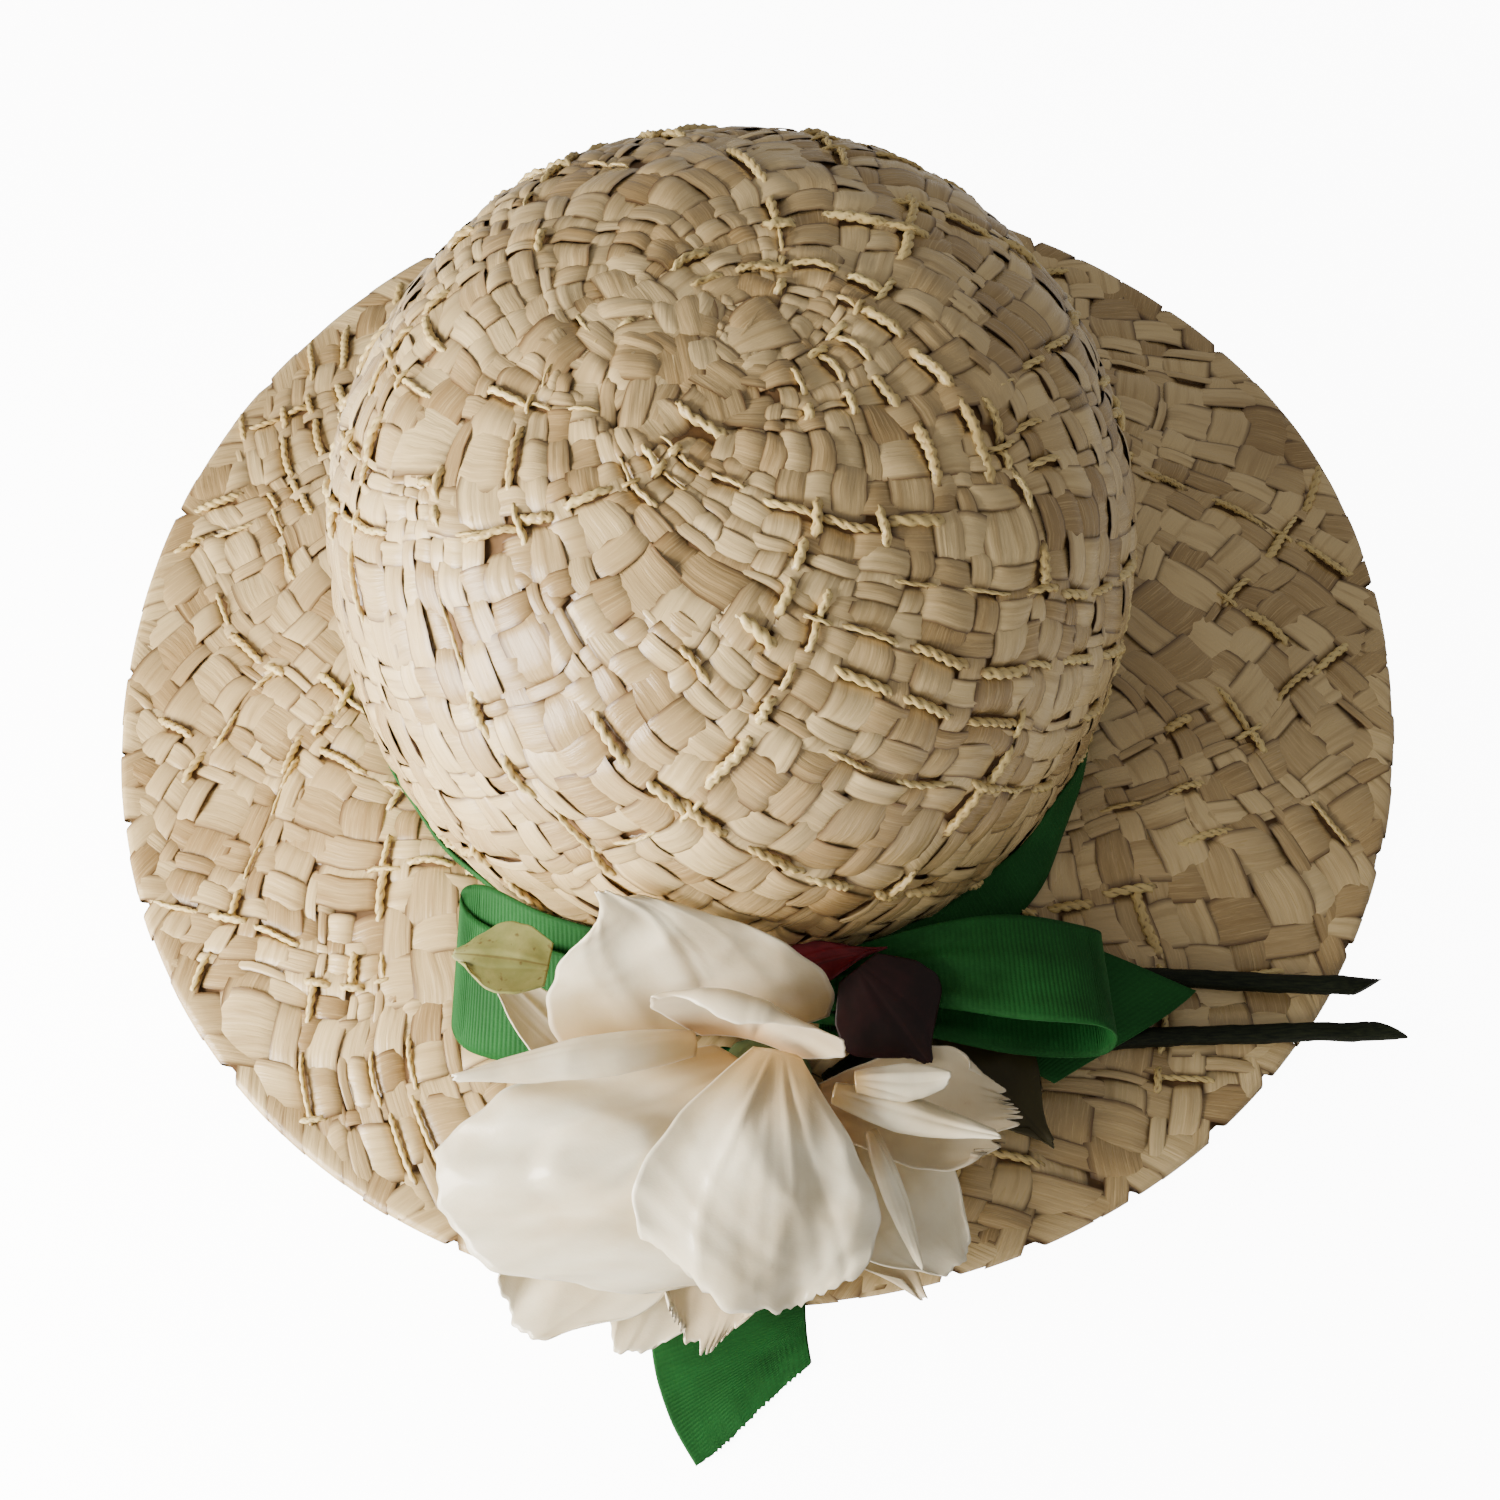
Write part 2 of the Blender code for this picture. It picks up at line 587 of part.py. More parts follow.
def petal_point(place, outline, curl, along, across):
    """A point of a petal: along it from 0 at the root to 1 at the tip, and across it from -1 to 1."""
    heading = radians(place.heading)
    outward = Vector((cos(heading), sin(heading), 0.0))
    up = Vector((0.0, 0.0, 1.0))
    reached = along * (1.0 - TIP_ROUNDING * across * across * along)
    point = rose_middle() + ROSE_SIZE * Vector((place.side, -place.out, place.rise))
    slope = radians(place.root_slope)
    step = reached / BEND_STEPS
    for index in range(BEND_STEPS):
        at = (index + 0.5) * step
        slope = radians(place.root_slope + (place.tip_slope - place.root_slope) * at)
        slope += radians(curl.end) * ease((at - TIP_CURL_START) / (1.0 - TIP_CURL_START))
        point += ROSE_SIZE * outline.length * step * (cos(slope) * outward + sin(slope) * up)
    normal = cos(slope) * up - sin(slope) * outward
    sideways = up.cross(outward)
    bank = radians(place.bank)
    sideways, normal = cos(bank) * sideways + sin(bank) * normal, cos(bank) * normal - sin(bank) * sideways
    half = 0.5 * ROSE_SIZE * outline.width * width_share(outline, along)
    aside, above = across_section(curl, across)
    lean = ROSE_SIZE * outline.width * outline.lean * reached * reached
    fold = ROSE_SIZE * curl.ruffle * sin(RUFFLE_WAVES * across + place.heading) * along * along
    return point + sideways * (half * aside + lean) + normal * (half * above + fold)


def make_petal(name, rows, columns, thickness, collection, parent, material):
    place, outline, curl = rows

    def bend(along, across):
        return petal_point(place, outline, curl, along, 2.0 * across - 1.0)

    petal = bent_sheet(name, bend, columns, columns)
    add_solidify(petal, thickness, 0.0)
    finish_object(petal, collection, parent, material)


def make_calyx(collection, parent, material):
    """The cup under the rose that its petals and stems are fixed to."""
    middle = rose_middle()
    foot = RIBBON_WIDTH * TAIL_FRONT[0].rise + CALYX_CLEAR
    profile = [
        (CALYX_RADIUS * ring.radius, 0.0, foot + CALYX_HEIGHT * ring.height)
        for ring in CALYX_RINGS
    ]
    mesh = bpy.data.meshes.new("rose_calyx")
    mesh.from_pydata(profile, [(i, i + 1) for i in range(len(profile) - 1)], [])
    calyx = bpy.data.objects.new("rose_calyx", mesh)
    turned = calyx.modifiers.new("Turned", "SCREW")
    turned.steps = AROUND_CALYX
    turned.render_steps = AROUND_CALYX
    turned.use_merge_vertices = True
    turned.merge_threshold = 0.00005
    calyx.location = middle
    finish_object(calyx, collection, parent, material)


def make_stem(name, rows, collection, parent, material):
    """A wire wrapped in dark tape, bent by hand, with plain cut ends."""
    curve = bpy.data.curves.new(name, "CURVE")
    curve.dimensions = "3D"
    curve.bevel_depth = STEM_RADIUS
    curve.bevel_resolution = 2
    curve.use_fill_caps = True
    line = curve.splines.new("POLY")
    line.points.add(STEM_POINTS - 1)
    middle = rose_middle()
    for index, knot in enumerate(line.points):
        row = along_rows(rows, index / (STEM_POINTS - 1))
        x = middle.x + ROSE_SIZE * row.side
        y = middle.y - ROSE_SIZE * row.out
        knot.co = (x, y, ground(x, y) + STEM_RADIUS * row.rise, 1.0)
    stem = bpy.data.objects.new(name, curve)
    finish_object(stem, collection, parent, material)


def settle(root):
    """Moves the whole hat so that the middle of its box stands over the origin."""
    graph = bpy.context.evaluated_depsgraph_get()
    across = []
    along = []
    for item in root.children:
        shown = item.evaluated_get(graph)
        for corner in shown.to_mesh().vertices:
            place = shown.matrix_world @ corner.co
            across.append(place.x)
            along.append(place.y)
        shown.to_mesh_clear()
    root.location.x = -0.5 * (min(across) + max(across))
    root.location.y = -0.5 * (min(along) + max(along))


clear_scene()
hat = collection_named("sun_hat")
middle_of_hat = bpy.data.objects.new("middle_of_hat", None)
hat.objects.link(middle_of_hat)

straw = material_named("straw", STRAW)
ribbon_green = material_named("ribbon", GREEN_RIBBON)
petal_cloth = material_named("petal", PETAL_WHITE)
make_crown(hat, middle_of_hat, straw)
make_brim(hat, middle_of_hat, straw)
make_band(hat, middle_of_hat, ribbon_green)
make_knot(hat, middle_of_hat, ribbon_green)
make_ribbon("bow_loop_right", LOOP_RIGHT, 18, 0.0, hat, middle_of_hat, ribbon_green)
make_ribbon("bow_loop_left", LOOP_LEFT, 18, 0.0, hat, middle_of_hat, ribbon_green)
make_ribbon("ribbon_tail_right", TAIL_RIGHT, 9, TAIL_RIGHT_CUT, hat, middle_of_hat, ribbon_green)
make_ribbon("ribbon_tail_front", TAIL_FRONT, 12, TAIL_FRONT_CUT, hat, middle_of_hat, ribbon_green)
make_calyx(hat, middle_of_hat, material_named("calyx", CALYX_GREEN))
for petal_name, petal_rows in PETALS.items():
    big = petal_rows[1].length * petal_rows[1].width > BIG_PETAL
    facets = BIG_PETAL_FACETS if big else PETAL_FACETS
    make_petal(petal_name, petal_rows, facets, PETAL_THICKNESS, hat, middle_of_hat, petal_cloth)
for leaf_name, leaf_rows in LEAVES.items():
    leaf_cloth = material_named(leaf_name, LEAF_FINISHES[leaf_name])
    make_petal(leaf_name, leaf_rows, PETAL_FACETS, LEAF_THICKNESS, hat, middle_of_hat, leaf_cloth)
stem_wrap = material_named("stem", STEM_GREEN)
make_stem("stem_upper", STEM_UPPER, hat, middle_of_hat, stem_wrap)
make_stem("stem_lower", STEM_LOWER, hat, middle_of_hat, stem_wrap)
settle(middle_of_hat)
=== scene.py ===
import random
from collections import namedtuple
from math import cos, pi, radians, sin

import bpy
import numpy as np
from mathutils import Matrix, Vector


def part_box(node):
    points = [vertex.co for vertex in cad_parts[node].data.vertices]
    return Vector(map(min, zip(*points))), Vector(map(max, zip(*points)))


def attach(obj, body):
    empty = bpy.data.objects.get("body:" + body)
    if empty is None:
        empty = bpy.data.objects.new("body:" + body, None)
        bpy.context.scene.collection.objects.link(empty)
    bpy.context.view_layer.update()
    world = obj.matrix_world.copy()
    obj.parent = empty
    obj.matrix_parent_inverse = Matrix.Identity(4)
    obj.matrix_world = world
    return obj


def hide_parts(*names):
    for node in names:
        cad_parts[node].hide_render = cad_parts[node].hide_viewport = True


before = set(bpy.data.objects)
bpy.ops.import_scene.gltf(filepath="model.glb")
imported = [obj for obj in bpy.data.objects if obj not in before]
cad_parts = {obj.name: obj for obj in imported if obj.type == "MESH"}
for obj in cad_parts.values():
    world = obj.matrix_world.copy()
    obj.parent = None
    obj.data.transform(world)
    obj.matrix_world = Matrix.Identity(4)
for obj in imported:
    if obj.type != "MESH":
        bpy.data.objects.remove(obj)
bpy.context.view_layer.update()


# Table, light and camera
# The hat lies on a plain white table by a window: one broad soft light from the left and a
# little in front, and white walls all round. The camera looks down at it from the front.

CROWN_MIDDLE = [0.5 * (low + high) for low, high in zip(*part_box("crown_side"))]
CROWN_OFF = (-0.0060, -0.0005)  # the crown's middle, from the middle of the brim
HAT_X = CROWN_MIDDLE[0] - CROWN_OFF[0]  # the middle of the brim
HAT_Y = CROWN_MIDDLE[1] - CROWN_OFF[1]
TABLE_REACH = 3.0
TABLE_GLOW = 11.0
EYE_BACK, EYE_HEIGHT = 0.2915, 0.4664  # from the middle of the brim, on the table
EYE_DOWN, EYE_ASIDE = radians(60.5), radians(-0.40)


class Paint:
    """A new material, with short ways to add nodes to it and to join them."""

    def __init__(self, name):
        self.material = bpy.data.materials.new(name)
        self.material.use_nodes = True
        self.tree = self.material.node_tree
        self.shader = self.tree.nodes["Principled BSDF"]
        self.link = self.tree.links.new

    def add(self, kind, **settings):
        """A node, with the values of its inputs and its own settings."""
        node = self.tree.nodes.new(kind)
        for key, value in settings.items():
            if key in node.inputs:
                node.inputs[key].default_value = value
            else:
                setattr(node, key, value)
        return node

    def give(self, values):
        """Sets inputs of the main shader by their names."""
        for key, value in values.items():
            self.shader.inputs[key].default_value = value

    def flat_places(self, layer):
        """Where a point lies on the cloth or straw as it was laid flat."""
        return self.add("ShaderNodeUVMap", uv_map=layer).outputs["UV"]

    def solid_places(self):
        return self.add("ShaderNodeTexCoord").outputs["Object"]

    def painted_looks(self):
        """The three values that a mesh carries for its looks at each point."""
        layer = self.add("ShaderNodeVertexColor", layer_name="looks")
        split = self.add("ShaderNodeSeparateColor")
        self.link(layer.outputs["Color"], split.inputs["Color"])
        return split.outputs["Red"], split.outputs["Green"], split.outputs["Blue"]

    def noise(self, places, scale, detail, roughness=0.5):
        """Noise by place, drawn out where there is one scale for each way."""
        node = self.add("ShaderNodeTexNoise", Scale=1.0, Detail=detail, Roughness=roughness)
        if isinstance(scale, tuple):
            stretch = self.add("ShaderNodeMapping", Scale=(*scale, 1.0))
            self.link(places, stretch.inputs["Vector"])
            places = stretch.outputs["Vector"]
        else:
            node.inputs["Scale"].default_value = scale
        self.link(places, node.inputs["Vector"])
        return node.outputs["Fac"]

    def mix(self, first, second, factor):
        """A colour between two, each of them a triple or what another node puts out."""
        node = self.add("ShaderNodeMix", data_type="RGBA")
        for socket, value in ((node.inputs[6], first), (node.inputs[7], second)):
            if isinstance(value, tuple):
                socket.default_value = (*value, 1.0)
            else:
                self.link(value, socket)
        self.link(factor, node.inputs["Factor"])
        return node.outputs[2]

    def spread(self, source, low, high, most=1.0, least=0.0):
        """A value that runs from least to most while its source runs from low to high."""
        node = self.add("ShaderNodeMapRange")
        for key, value in (("From Min", low), ("From Max", high), ("To Min", least), ("To Max", most)):
            node.inputs[key].default_value = value
        self.link(source, node.inputs["Value"])
        return node.outputs["Result"]

    def shades(self, source, dark, light, low=0.0, high=1.0):
        """A colour from dark to light while its source runs from low to high."""
        node = self.add("ShaderNodeValToRGB")
        for stop, place, colour in zip(node.color_ramp.elements, (low, high), (dark, light)):
            stop.position = place
            stop.color = (*colour, 1.0)
        self.link(source, node.inputs["Fac"])
        return node.outputs["Color"]

    def colour(self, source):
        self.link(source, self.shader.inputs["Base Color"])

    def bumps(self, *layers):
        """Bumps laid over each other: each its height, how strong it is and how deep."""
        below = None
        for height, strength, depth in layers:
            node = self.add("ShaderNodeBump", Strength=strength, Distance=depth)
            self.link(height, node.inputs["Height"])
            if below:
                self.link(below, node.inputs["Normal"])
            below = node.outputs["Normal"]
        self.link(below, self.shader.inputs["Normal"])


def table_top():
    """A wide white table, as one flat face."""
    mesh = bpy.data.meshes.new("table_top")
    far = TABLE_REACH
    mesh.from_pydata([(-far, -far, 0), (far, -far, 0), (far, far, 0), (-far, far, 0)], [], [(0, 1, 2, 3)])
    table = bpy.data.objects.new("table_top", mesh)
    bpy.context.scene.collection.objects.link(table)
    paint = Paint("white_table")
    white = (1.0, 1.0, 1.0, 1.0)
    paint.give({"Base Color": (0.93, 0.93, 0.93, 1.0), "Roughness": 0.9, "Emission Color": white})
    # The photo's table is overexposed: the eye sees it brighter than the light that it returns.
    seen = paint.add("ShaderNodeLightPath")
    glow = paint.add("ShaderNodeMath", operation="MULTIPLY")
    glow.inputs[1].default_value = TABLE_GLOW
    paint.link(seen.outputs["Is Camera Ray"], glow.inputs[0])
    paint.link(glow.outputs["Value"], paint.shader.inputs["Emission Strength"])
    mesh.materials.append(paint.material)
    return table


def soft_light(name, place, aim, size, power, colour):
    """A lit sheet that shines from its place towards its aim."""
    light = bpy.data.lights.new(name, "AREA")
    light.shape = "RECTANGLE"
    light.size, light.size_y = size
    light.energy = power
    light.color = colour
    lamp = bpy.data.objects.new(name, light)
    lamp.location = place
    lamp.rotation_euler = (Vector(aim) - Vector(place)).to_track_quat("-Z", "Y").to_euler()
    bpy.context.scene.collection.objects.link(lamp)


def room_light(strength):
    """What the white walls send back, the same from all sides."""
    world = bpy.data.worlds.new("white_room")
    world.use_nodes = True
    background = world.node_tree.nodes["Background"]
    background.inputs["Color"].default_value = (1.0, 0.97, 0.92, 1.0)
    background.inputs["Strength"].default_value = strength
    bpy.context.scene.world = world


table_top()
soft_light("window", place=(-0.52, -0.29, 0.21), aim=(0.0, -0.02, 0.05), size=(0.36, 0.36),
           power=13.5, colour=(1.0, 0.94, 0.85))
soft_light("front_wall", place=(-0.3, -1.4, 0.8), aim=(0.0, 0.0, 0.05), size=(1.2, 0.8),
           power=1.5, colour=(1.0, 0.96, 0.90))
room_light(0.36)

eye = bpy.data.cameras.new("eye")
eye.sensor_width = 36.0
eye.lens = 48.12
camera = bpy.data.objects.new("camera", eye)
camera.location = (HAT_X, HAT_Y - EYE_BACK, EYE_HEIGHT)
level = cos(EYE_DOWN)
looking = Vector((sin(EYE_ASIDE) * level, cos(EYE_ASIDE) * level, -sin(EYE_DOWN)))
camera.rotation_euler = looking.to_track_quat("-Z", "Y").to_euler()
bpy.context.scene.collection.objects.link(camera)
bpy.context.scene.camera = camera


# Straw of the crown
# The crown is flat raffia strips woven over and under each other on the bias, spiralling out
# of the middle of its top both ways round. Wide strips, narrow ones and two-ply twisted cords
# come in no fixed order. All of it is woven over a block, then pressed.

WALL = 0.0020
CROWN_RADIUS, CROWN_FOOT, CROWN_LENGTHWAYS = 0.0978, 0.0915, 1.045
CROWN_TOP, CROWN_WIDEST, CROWN_BASE = 0.1380, 0.0430, 0.0168
CROWN_ROUNDNESS, FOOT_ROUNDNESS = 2.75, 1.4
WEAVE_POLE = (-0.0110, -0.0055)  # the weave's middle lies to one side of the top
STRAW_WIDTHS = {"wide": 13.5, "narrow": 7.4, "cord": 4.0}  # as shares of each other
CORD_ROOM = 0.0064  # a cord shows only where its strip has no more room than this
CORD_TWIST = 0.0054  # of cord for one full turn of its two plies
CORD_HIDDEN = 0.26  # the share of a cord's stretches in which a narrow strip shows instead
RUN_UNDER = 0.40  # how far a strip runs on under the next one, as a share of that one's width
DIAGONAL = 1.41421
STRIP, CORD, BEHIND = 0, 1, 2  # the kinds of patches that a weave is made of
Patch = namedtuple("Patch", "points faces fibre looks kind")
Span = namedtuple("Span", "low high start end before after runs_v")  # where a strip shows


def ease(share):
    """A share from 0 to 1, with a soft start and end."""
    share = np.clip(share, 0.0, 1.0)
    return share * share * (3.0 - 2.0 * share)


def crown_outline():
    """Rows of (radius, height, way down from the top), evenly spaced along the crown's outside."""
    turn = 0.5 * pi * (1.0 - np.linspace(0.0, 1.0, 900))
    height = CROWN_WIDEST + (CROWN_TOP - CROWN_WIDEST) * np.sin(turn) ** (2.0 / CROWN_ROUNDNESS)
    radius = CROWN_RADIUS * np.clip(np.cos(turn), 0.0, 1.0) ** (2.0 / CROWN_ROUNDNESS)
    low = np.linspace(CROWN_WIDEST, CROWN_BASE, 60)[1:]
    share = (CROWN_WIDEST - low) / (CROWN_WIDEST - CROWN_BASE)
    foot = CROWN_RADIUS + (CROWN_FOOT - CROWN_RADIUS) * share**FOOT_ROUNDNESS
    rows = np.stack([np.append(radius, foot), np.append(height, low)], 1)
    way = np.append(0.0, np.cumsum(np.hypot(*np.diff(rows, axis=0).T)))
    even = np.linspace(0.0, way[-1], 700)
    return np.stack([np.interp(even, way, rows[:, 0]), np.interp(even, way, rows[:, 1]), even], 1)


CROWN_ROWS = crown_outline()
CROWN_DOME = CROWN_ROWS[: np.argmax(CROWN_ROWS[:, 0]) + 1]  # down to the widest place
# How far down the spiral each row lies: every step down is counted in shares of the radius there.
safe_radius = np.maximum(CROWN_ROWS[:, 0], 0.0040)
steps = np.diff(CROWN_ROWS[:, 2]) / (0.5 * (safe_radius[1:] + safe_radius[:-1]))
CROWN_SPIRAL = np.append(0.0, np.cumsum(steps))


def crown_skin(turn, spiral):
    """Points and outward normals of the crown's outside at arrays of turn and way down the spiral."""
    way = np.interp(spiral, CROWN_SPIRAL, CROWN_ROWS[:, 2])
    radius = np.interp(way, CROWN_ROWS[:, 2], CROWN_ROWS[:, 0])
    height = np.interp(way, CROWN_ROWS[:, 2], CROWN_ROWS[:, 1])
    pull = np.where(height > CROWN_WIDEST, 1.0 - np.clip(radius / CROWN_RADIUS, 0, 1) ** 2, 0.0)
    x = radius * np.cos(turn) + WEAVE_POLE[0] * pull
    y = radius * np.sin(turn) + WEAVE_POLE[1] * pull
    reach = np.hypot(x, y)
    top = np.interp(reach, CROWN_DOME[:, 0], CROWN_DOME[:, 1])
    height = height + (top - height) * np.where(pull > 0.0, ease(pull * 8.0), 0.0)
    slope = np.interp(way, CROWN_ROWS[:, 2], np.gradient(CROWN_ROWS[:, 1], CROWN_ROWS[:, 2]))
    flat = np.sqrt(np.clip(1.0 - slope**2, 0.0, 1.0))
    upward = np.where(way < 0.17, flat, -flat)
    middle = np.stack([x, y * CROWN_LENGTHWAYS, height], -1)
    normal = np.stack([-slope * np.cos(turn), -slope * np.sin(turn), upward], -1)
    # A hand-woven crown is never quite round: it swells and sinks by a millimetre here and there.
    swell = 0.0009 * np.sin(3.0 * turn + 9.0 * spiral) * np.sin(2.0 * turn - 5.0 * spiral + 1.0)
    middle = middle + normal * (swell * ease(spiral / 1.5))[..., None]
    middle[..., 0] += CROWN_MIDDLE[0]
    middle[..., 1] += CROWN_MIDDLE[1]
    return middle, normal


def crown_scale(spiral):
    """Metres for one step of turn or of spiral."""
    return np.interp(spiral, CROWN_SPIRAL, CROWN_ROWS[:, 0])


def strip_kinds(count, seed):
    """The order of the strips round the hat: wide, narrow and twisted, never two cords together."""
    chance = random.Random(seed)
    kinds = []
    for place in range(count):
        choice = ["wide", "narrow", "cord", "narrow"][place % 4]
        if chance.random() < 0.40:
            choice = chance.choice(["wide", "narrow", "cord"])
        if choice == "cord" and (kinds and kinds[-1] == "cord" or place in (0, count - 1)):
            choice = "narrow"
        kinds.append(choice)
    return kinds


def strip_edges(kinds, seed):
    """Where each strip begins and ends, over one turn round the hat."""
    chance = random.Random(seed)
    widths = np.array([STRAW_WIDTHS[kind] * chance.uniform(0.84, 1.16) for kind in kinds])
    return np.append(0.0, np.cumsum(widths)) / widths.sum() * 2.0 * pi


def paint_mesh(mesh, faces, layer, places, looks=None):
    """Gives a mesh its places on the flat straw or cloth, and its looks at each point."""
    flat = mesh.uv_layers.new(name=layer)
    flat.data.foreach_set("uv", places[faces.reshape(-1)].astype(np.float32).ravel())
    if looks is not None:
        colours = mesh.color_attributes.new("looks", "FLOAT_COLOR", "POINT")
        full = np.concatenate([looks, np.ones((len(looks), 1))], 1)
        colours.data.foreach_set("color", full.astype(np.float32).ravel())


def grid(rows, columns, first=-1.0):
    """Two arrays over a patch: down it from first to 1, and across it from -1 to 1."""
    return np.meshgrid(np.linspace(first, 1.0, rows), np.linspace(-1.0, 1.0, columns), indexing="ij")


class Weave:
    """Collects the faces of a woven straw skin, then turns them into one mesh."""

    def __init__(self, skin, scale, side, first=0.0, last=9.0):
        self.skin, self.scale, self.side = skin, scale, side
        self.first, self.last = first, last
        self.patches = []

    def add_grid(self, points, fibre, looks, kind, closed=False):
        """One patch of straw as a grid of points, with its fibre places and its looks."""
        rows, columns = points.shape[:2]
        index = np.arange(rows * columns).reshape(rows, columns)
        if closed:
            index = np.concatenate([index, index[:, :1]], 1)
        corners = index[:-1, :-1], index[1:, :-1], index[1:, 1:], index[:-1, 1:]
        faces = np.stack(corners, -1).reshape(-1, 4)
        faces = faces if self.side > 0 else faces[:, ::-1]
        patch = Patch(points.reshape(-1, 3), faces, fibre.reshape(-1, 2), looks.reshape(-1, 3), kind)
        self.patches.append(patch)

    def loose(self, spiral):
        """How freely a strip may slide up or down the hat: not at all near the weave's two ends."""
        return ease((spiral - self.first) * 6.0) * ease((self.last - spiral) * 6.0)

    def place(self, u, v, height):
        """Points at a height over the skin, by the strips' own two ways across it."""
        turn, spiral = 0.5 * (u + v), 0.5 * (u - v)
        # No strip runs quite true: they wander, crowd together and part again.
        drift = 0.011 * np.sin(7.0 * turn + 13.0 * spiral + 1.0) + 0.006 * np.sin(16.0 * turn - 9.0 * spiral)
        drift = drift + 0.003 * np.sin(31.0 * turn + 23.0 * spiral)
        drift = drift + 0.003 * np.sin(27.0 * turn - 41.0 * spiral)
        slide = 0.011 * np.sin(8.0 * turn - 11.0 * spiral)
        slide = slide + 0.006 * np.sin(13.0 * turn + 19.0 * spiral + 2.0)
        turn, spiral = turn + drift, spiral + slide * self.loose(spiral)
        middle, normal = self.skin(turn, spiral)
        return middle + normal * (self.side * height)[..., None]

    def scale_at(self, span):
        """Metres for one step across the strips where a span lies."""
        spiral = 0.25 * (span.low + span.high - span.start - span.end) * (1.0 if span.runs_v else -1.0)
        return float(self.scale(np.array(spiral))) / DIAGONAL

    def strip(self, span, chance, fine):
        """A flat strip where it shows between two that cross over it: wide across, arched along."""
        low, high, start, end, before, after, runs_v = span
        scale = self.scale_at(span)
        width, length = (high - low) * scale, (end - start) * scale
        t, c = grid(7, 6) if fine else grid(4, 3)
        reach = end - start + before * RUN_UNDER + after * RUN_UNDER
        along = start - before * RUN_UNDER + reach * (0.5 * t + 0.5)
        narrow = chance.uniform(0.98, 1.14) - chance.uniform(0.02, 0.16) * t**2
        skew = chance.uniform(-0.11, 0.11)
        bow = chance.uniform(-0.06, 0.06)
        across = 0.5 * (low + high) + 0.5 * (high - low) * (c * narrow + skew * t + bow * (1 - t**2))
        along = along + chance.uniform(-0.07, 0.07) * (end - start) * c
        power = 2.2 if length < 0.006 else 3.2
        rise = 0.00065 + 0.00065 * min(1.0, length / 0.012) * chance.uniform(0.7, 1.3)
        height = rise * (1.0 - np.abs(t) ** power * 1.75) - 0.00028 * c**4
        # Raffia keeps the folds it dried with: a ridge or two along it, and one side turned up.
        for _ in range(3):
            ridge = chance.uniform(-0.9, 0.9)
            size = chance.uniform(-0.00045, 0.00045) * min(1.0, width / 0.009)
            lean = chance.uniform(-0.6, 0.6)
            height = height + size * np.clip(1.0 - np.abs(c - ridge - lean * t) * 2.4, 0.0, 1.0)
        broad = min(1.0, width / 0.010)
        height = height + chance.uniform(-0.00065, 0.00065) * broad * c * (1.0 - 0.5 * t**2)
        height = height + chance.uniform(-0.00040, 0.00040) * broad * t * (1.0 - t**4)
        height = height + chance.uniform(-0.0001, 0.00025)
        points = self.place(across, along, height) if runs_v else self.place(along, across, height)
        down, over = t * length * 0.65 + chance.uniform(0, 9), c * width * 0.5 + chance.uniform(0, 9)
        fibre = np.stack([down, over], -1)
        tone = np.full_like(t, chance.random())
        # The looks: a tone of its own, then painted shade towards the ends, where the strip dives under, and
        # along its sides.
        looks = np.stack([tone, ease((np.abs(t) - 0.55) / 0.40), ease((np.abs(c) - 0.70) / 0.30)], -1)
        if not runs_v:
            points, fibre, looks = (x.swapaxes(0, 1) for x in (points, fibre, looks))
        self.add_grid(points[::-1], fibre[::-1], looks[::-1], STRIP)

    def cord(self, span, chance, fine):
        """A two-ply twisted cord where it shows between two strips that cross over it."""
        low, high, start, end, before, after, runs_v = span
        scale = self.scale_at(span)
        thick = min(0.36 * (high - low) * scale, 0.0013)
        reach = end - start + RUN_UNDER * (before + after)
        length = reach * scale
        rows = int(np.clip(round(length / 0.00075), 6, 24)) if fine else 4
        columns = 10 if fine else 5
        t = np.linspace(-1.0, 1.0, rows)[:, None]
        ring = np.linspace(0.0, 2.0 * pi, columns, endpoint=False)[None, :]
        twist = t * length / CORD_TWIST * pi + chance.uniform(0, pi)
        ply = 0.40 + 0.60 * np.abs(np.cos(ring - twist)) ** 0.9
        ply = ply * (1.0 + chance.uniform(-0.1, 0.1))
        along = 0.5 * (start + end) + 0.5 * reach * t + 0.0 * ring
        across = 0.5 * (low + high) + np.cos(ring) * ply * thick / scale * 0.95
        lift = 0.0009 * (1.0 - np.abs(t) ** 3 * 1.9)
        height = lift + 0.0003 + np.sin(ring) * ply * min(thick, 0.0015)
        points = self.place(across, along, height) if runs_v else self.place(along, across, height)
        down, over = t * length * 0.5 + 0.3 * thick * ring, ring * thick + 0.0 * t
        fibre = np.stack([down, over], -1) + chance.uniform(0, 9)
        tone = 0.25 + 0.5 * chance.random()
        # Painted shade at the cord's ends, where it dives under, and in the grooves between its plies.
        painted_shade = ease((np.abs(t) - 0.72) / 0.28) + ease((0.66 - ply) / 0.20) * 0.85
        looks = np.stack([np.full_like(painted_shade, tone), np.clip(painted_shade, 0, 1), np.full_like(painted_shade, 0.2)], -1)
        if runs_v:
            points, fibre, looks = points[:, ::-1], fibre[:, ::-1], looks[:, ::-1]
        self.add_grid(points, fibre, looks, CORD, closed=True)

    def kind_here(self, kind, width, strip, stretch, seed):
        """What shows of a strip here: a cord comes up only in some stretches where it has little room."""
        if kind != "cord":
            return kind
        hidden = random.Random(seed * 77 + strip * 991 + stretch % 97).random() < CORD_HIDDEN
        return "narrow" if width > CORD_ROOM or hidden else "cord"

    def zone(self, count, first, last, seed, fine=True):
        """A stretch of the weave between two places down the spiral, with count strips each way."""
        kinds = [strip_kinds(count, seed), strip_kinds(count, seed + 1)]
        edges = [strip_edges(kinds[0], seed + 2), strip_edges(kinds[1], seed + 3)]
        pitch = 2.0 * pi / count

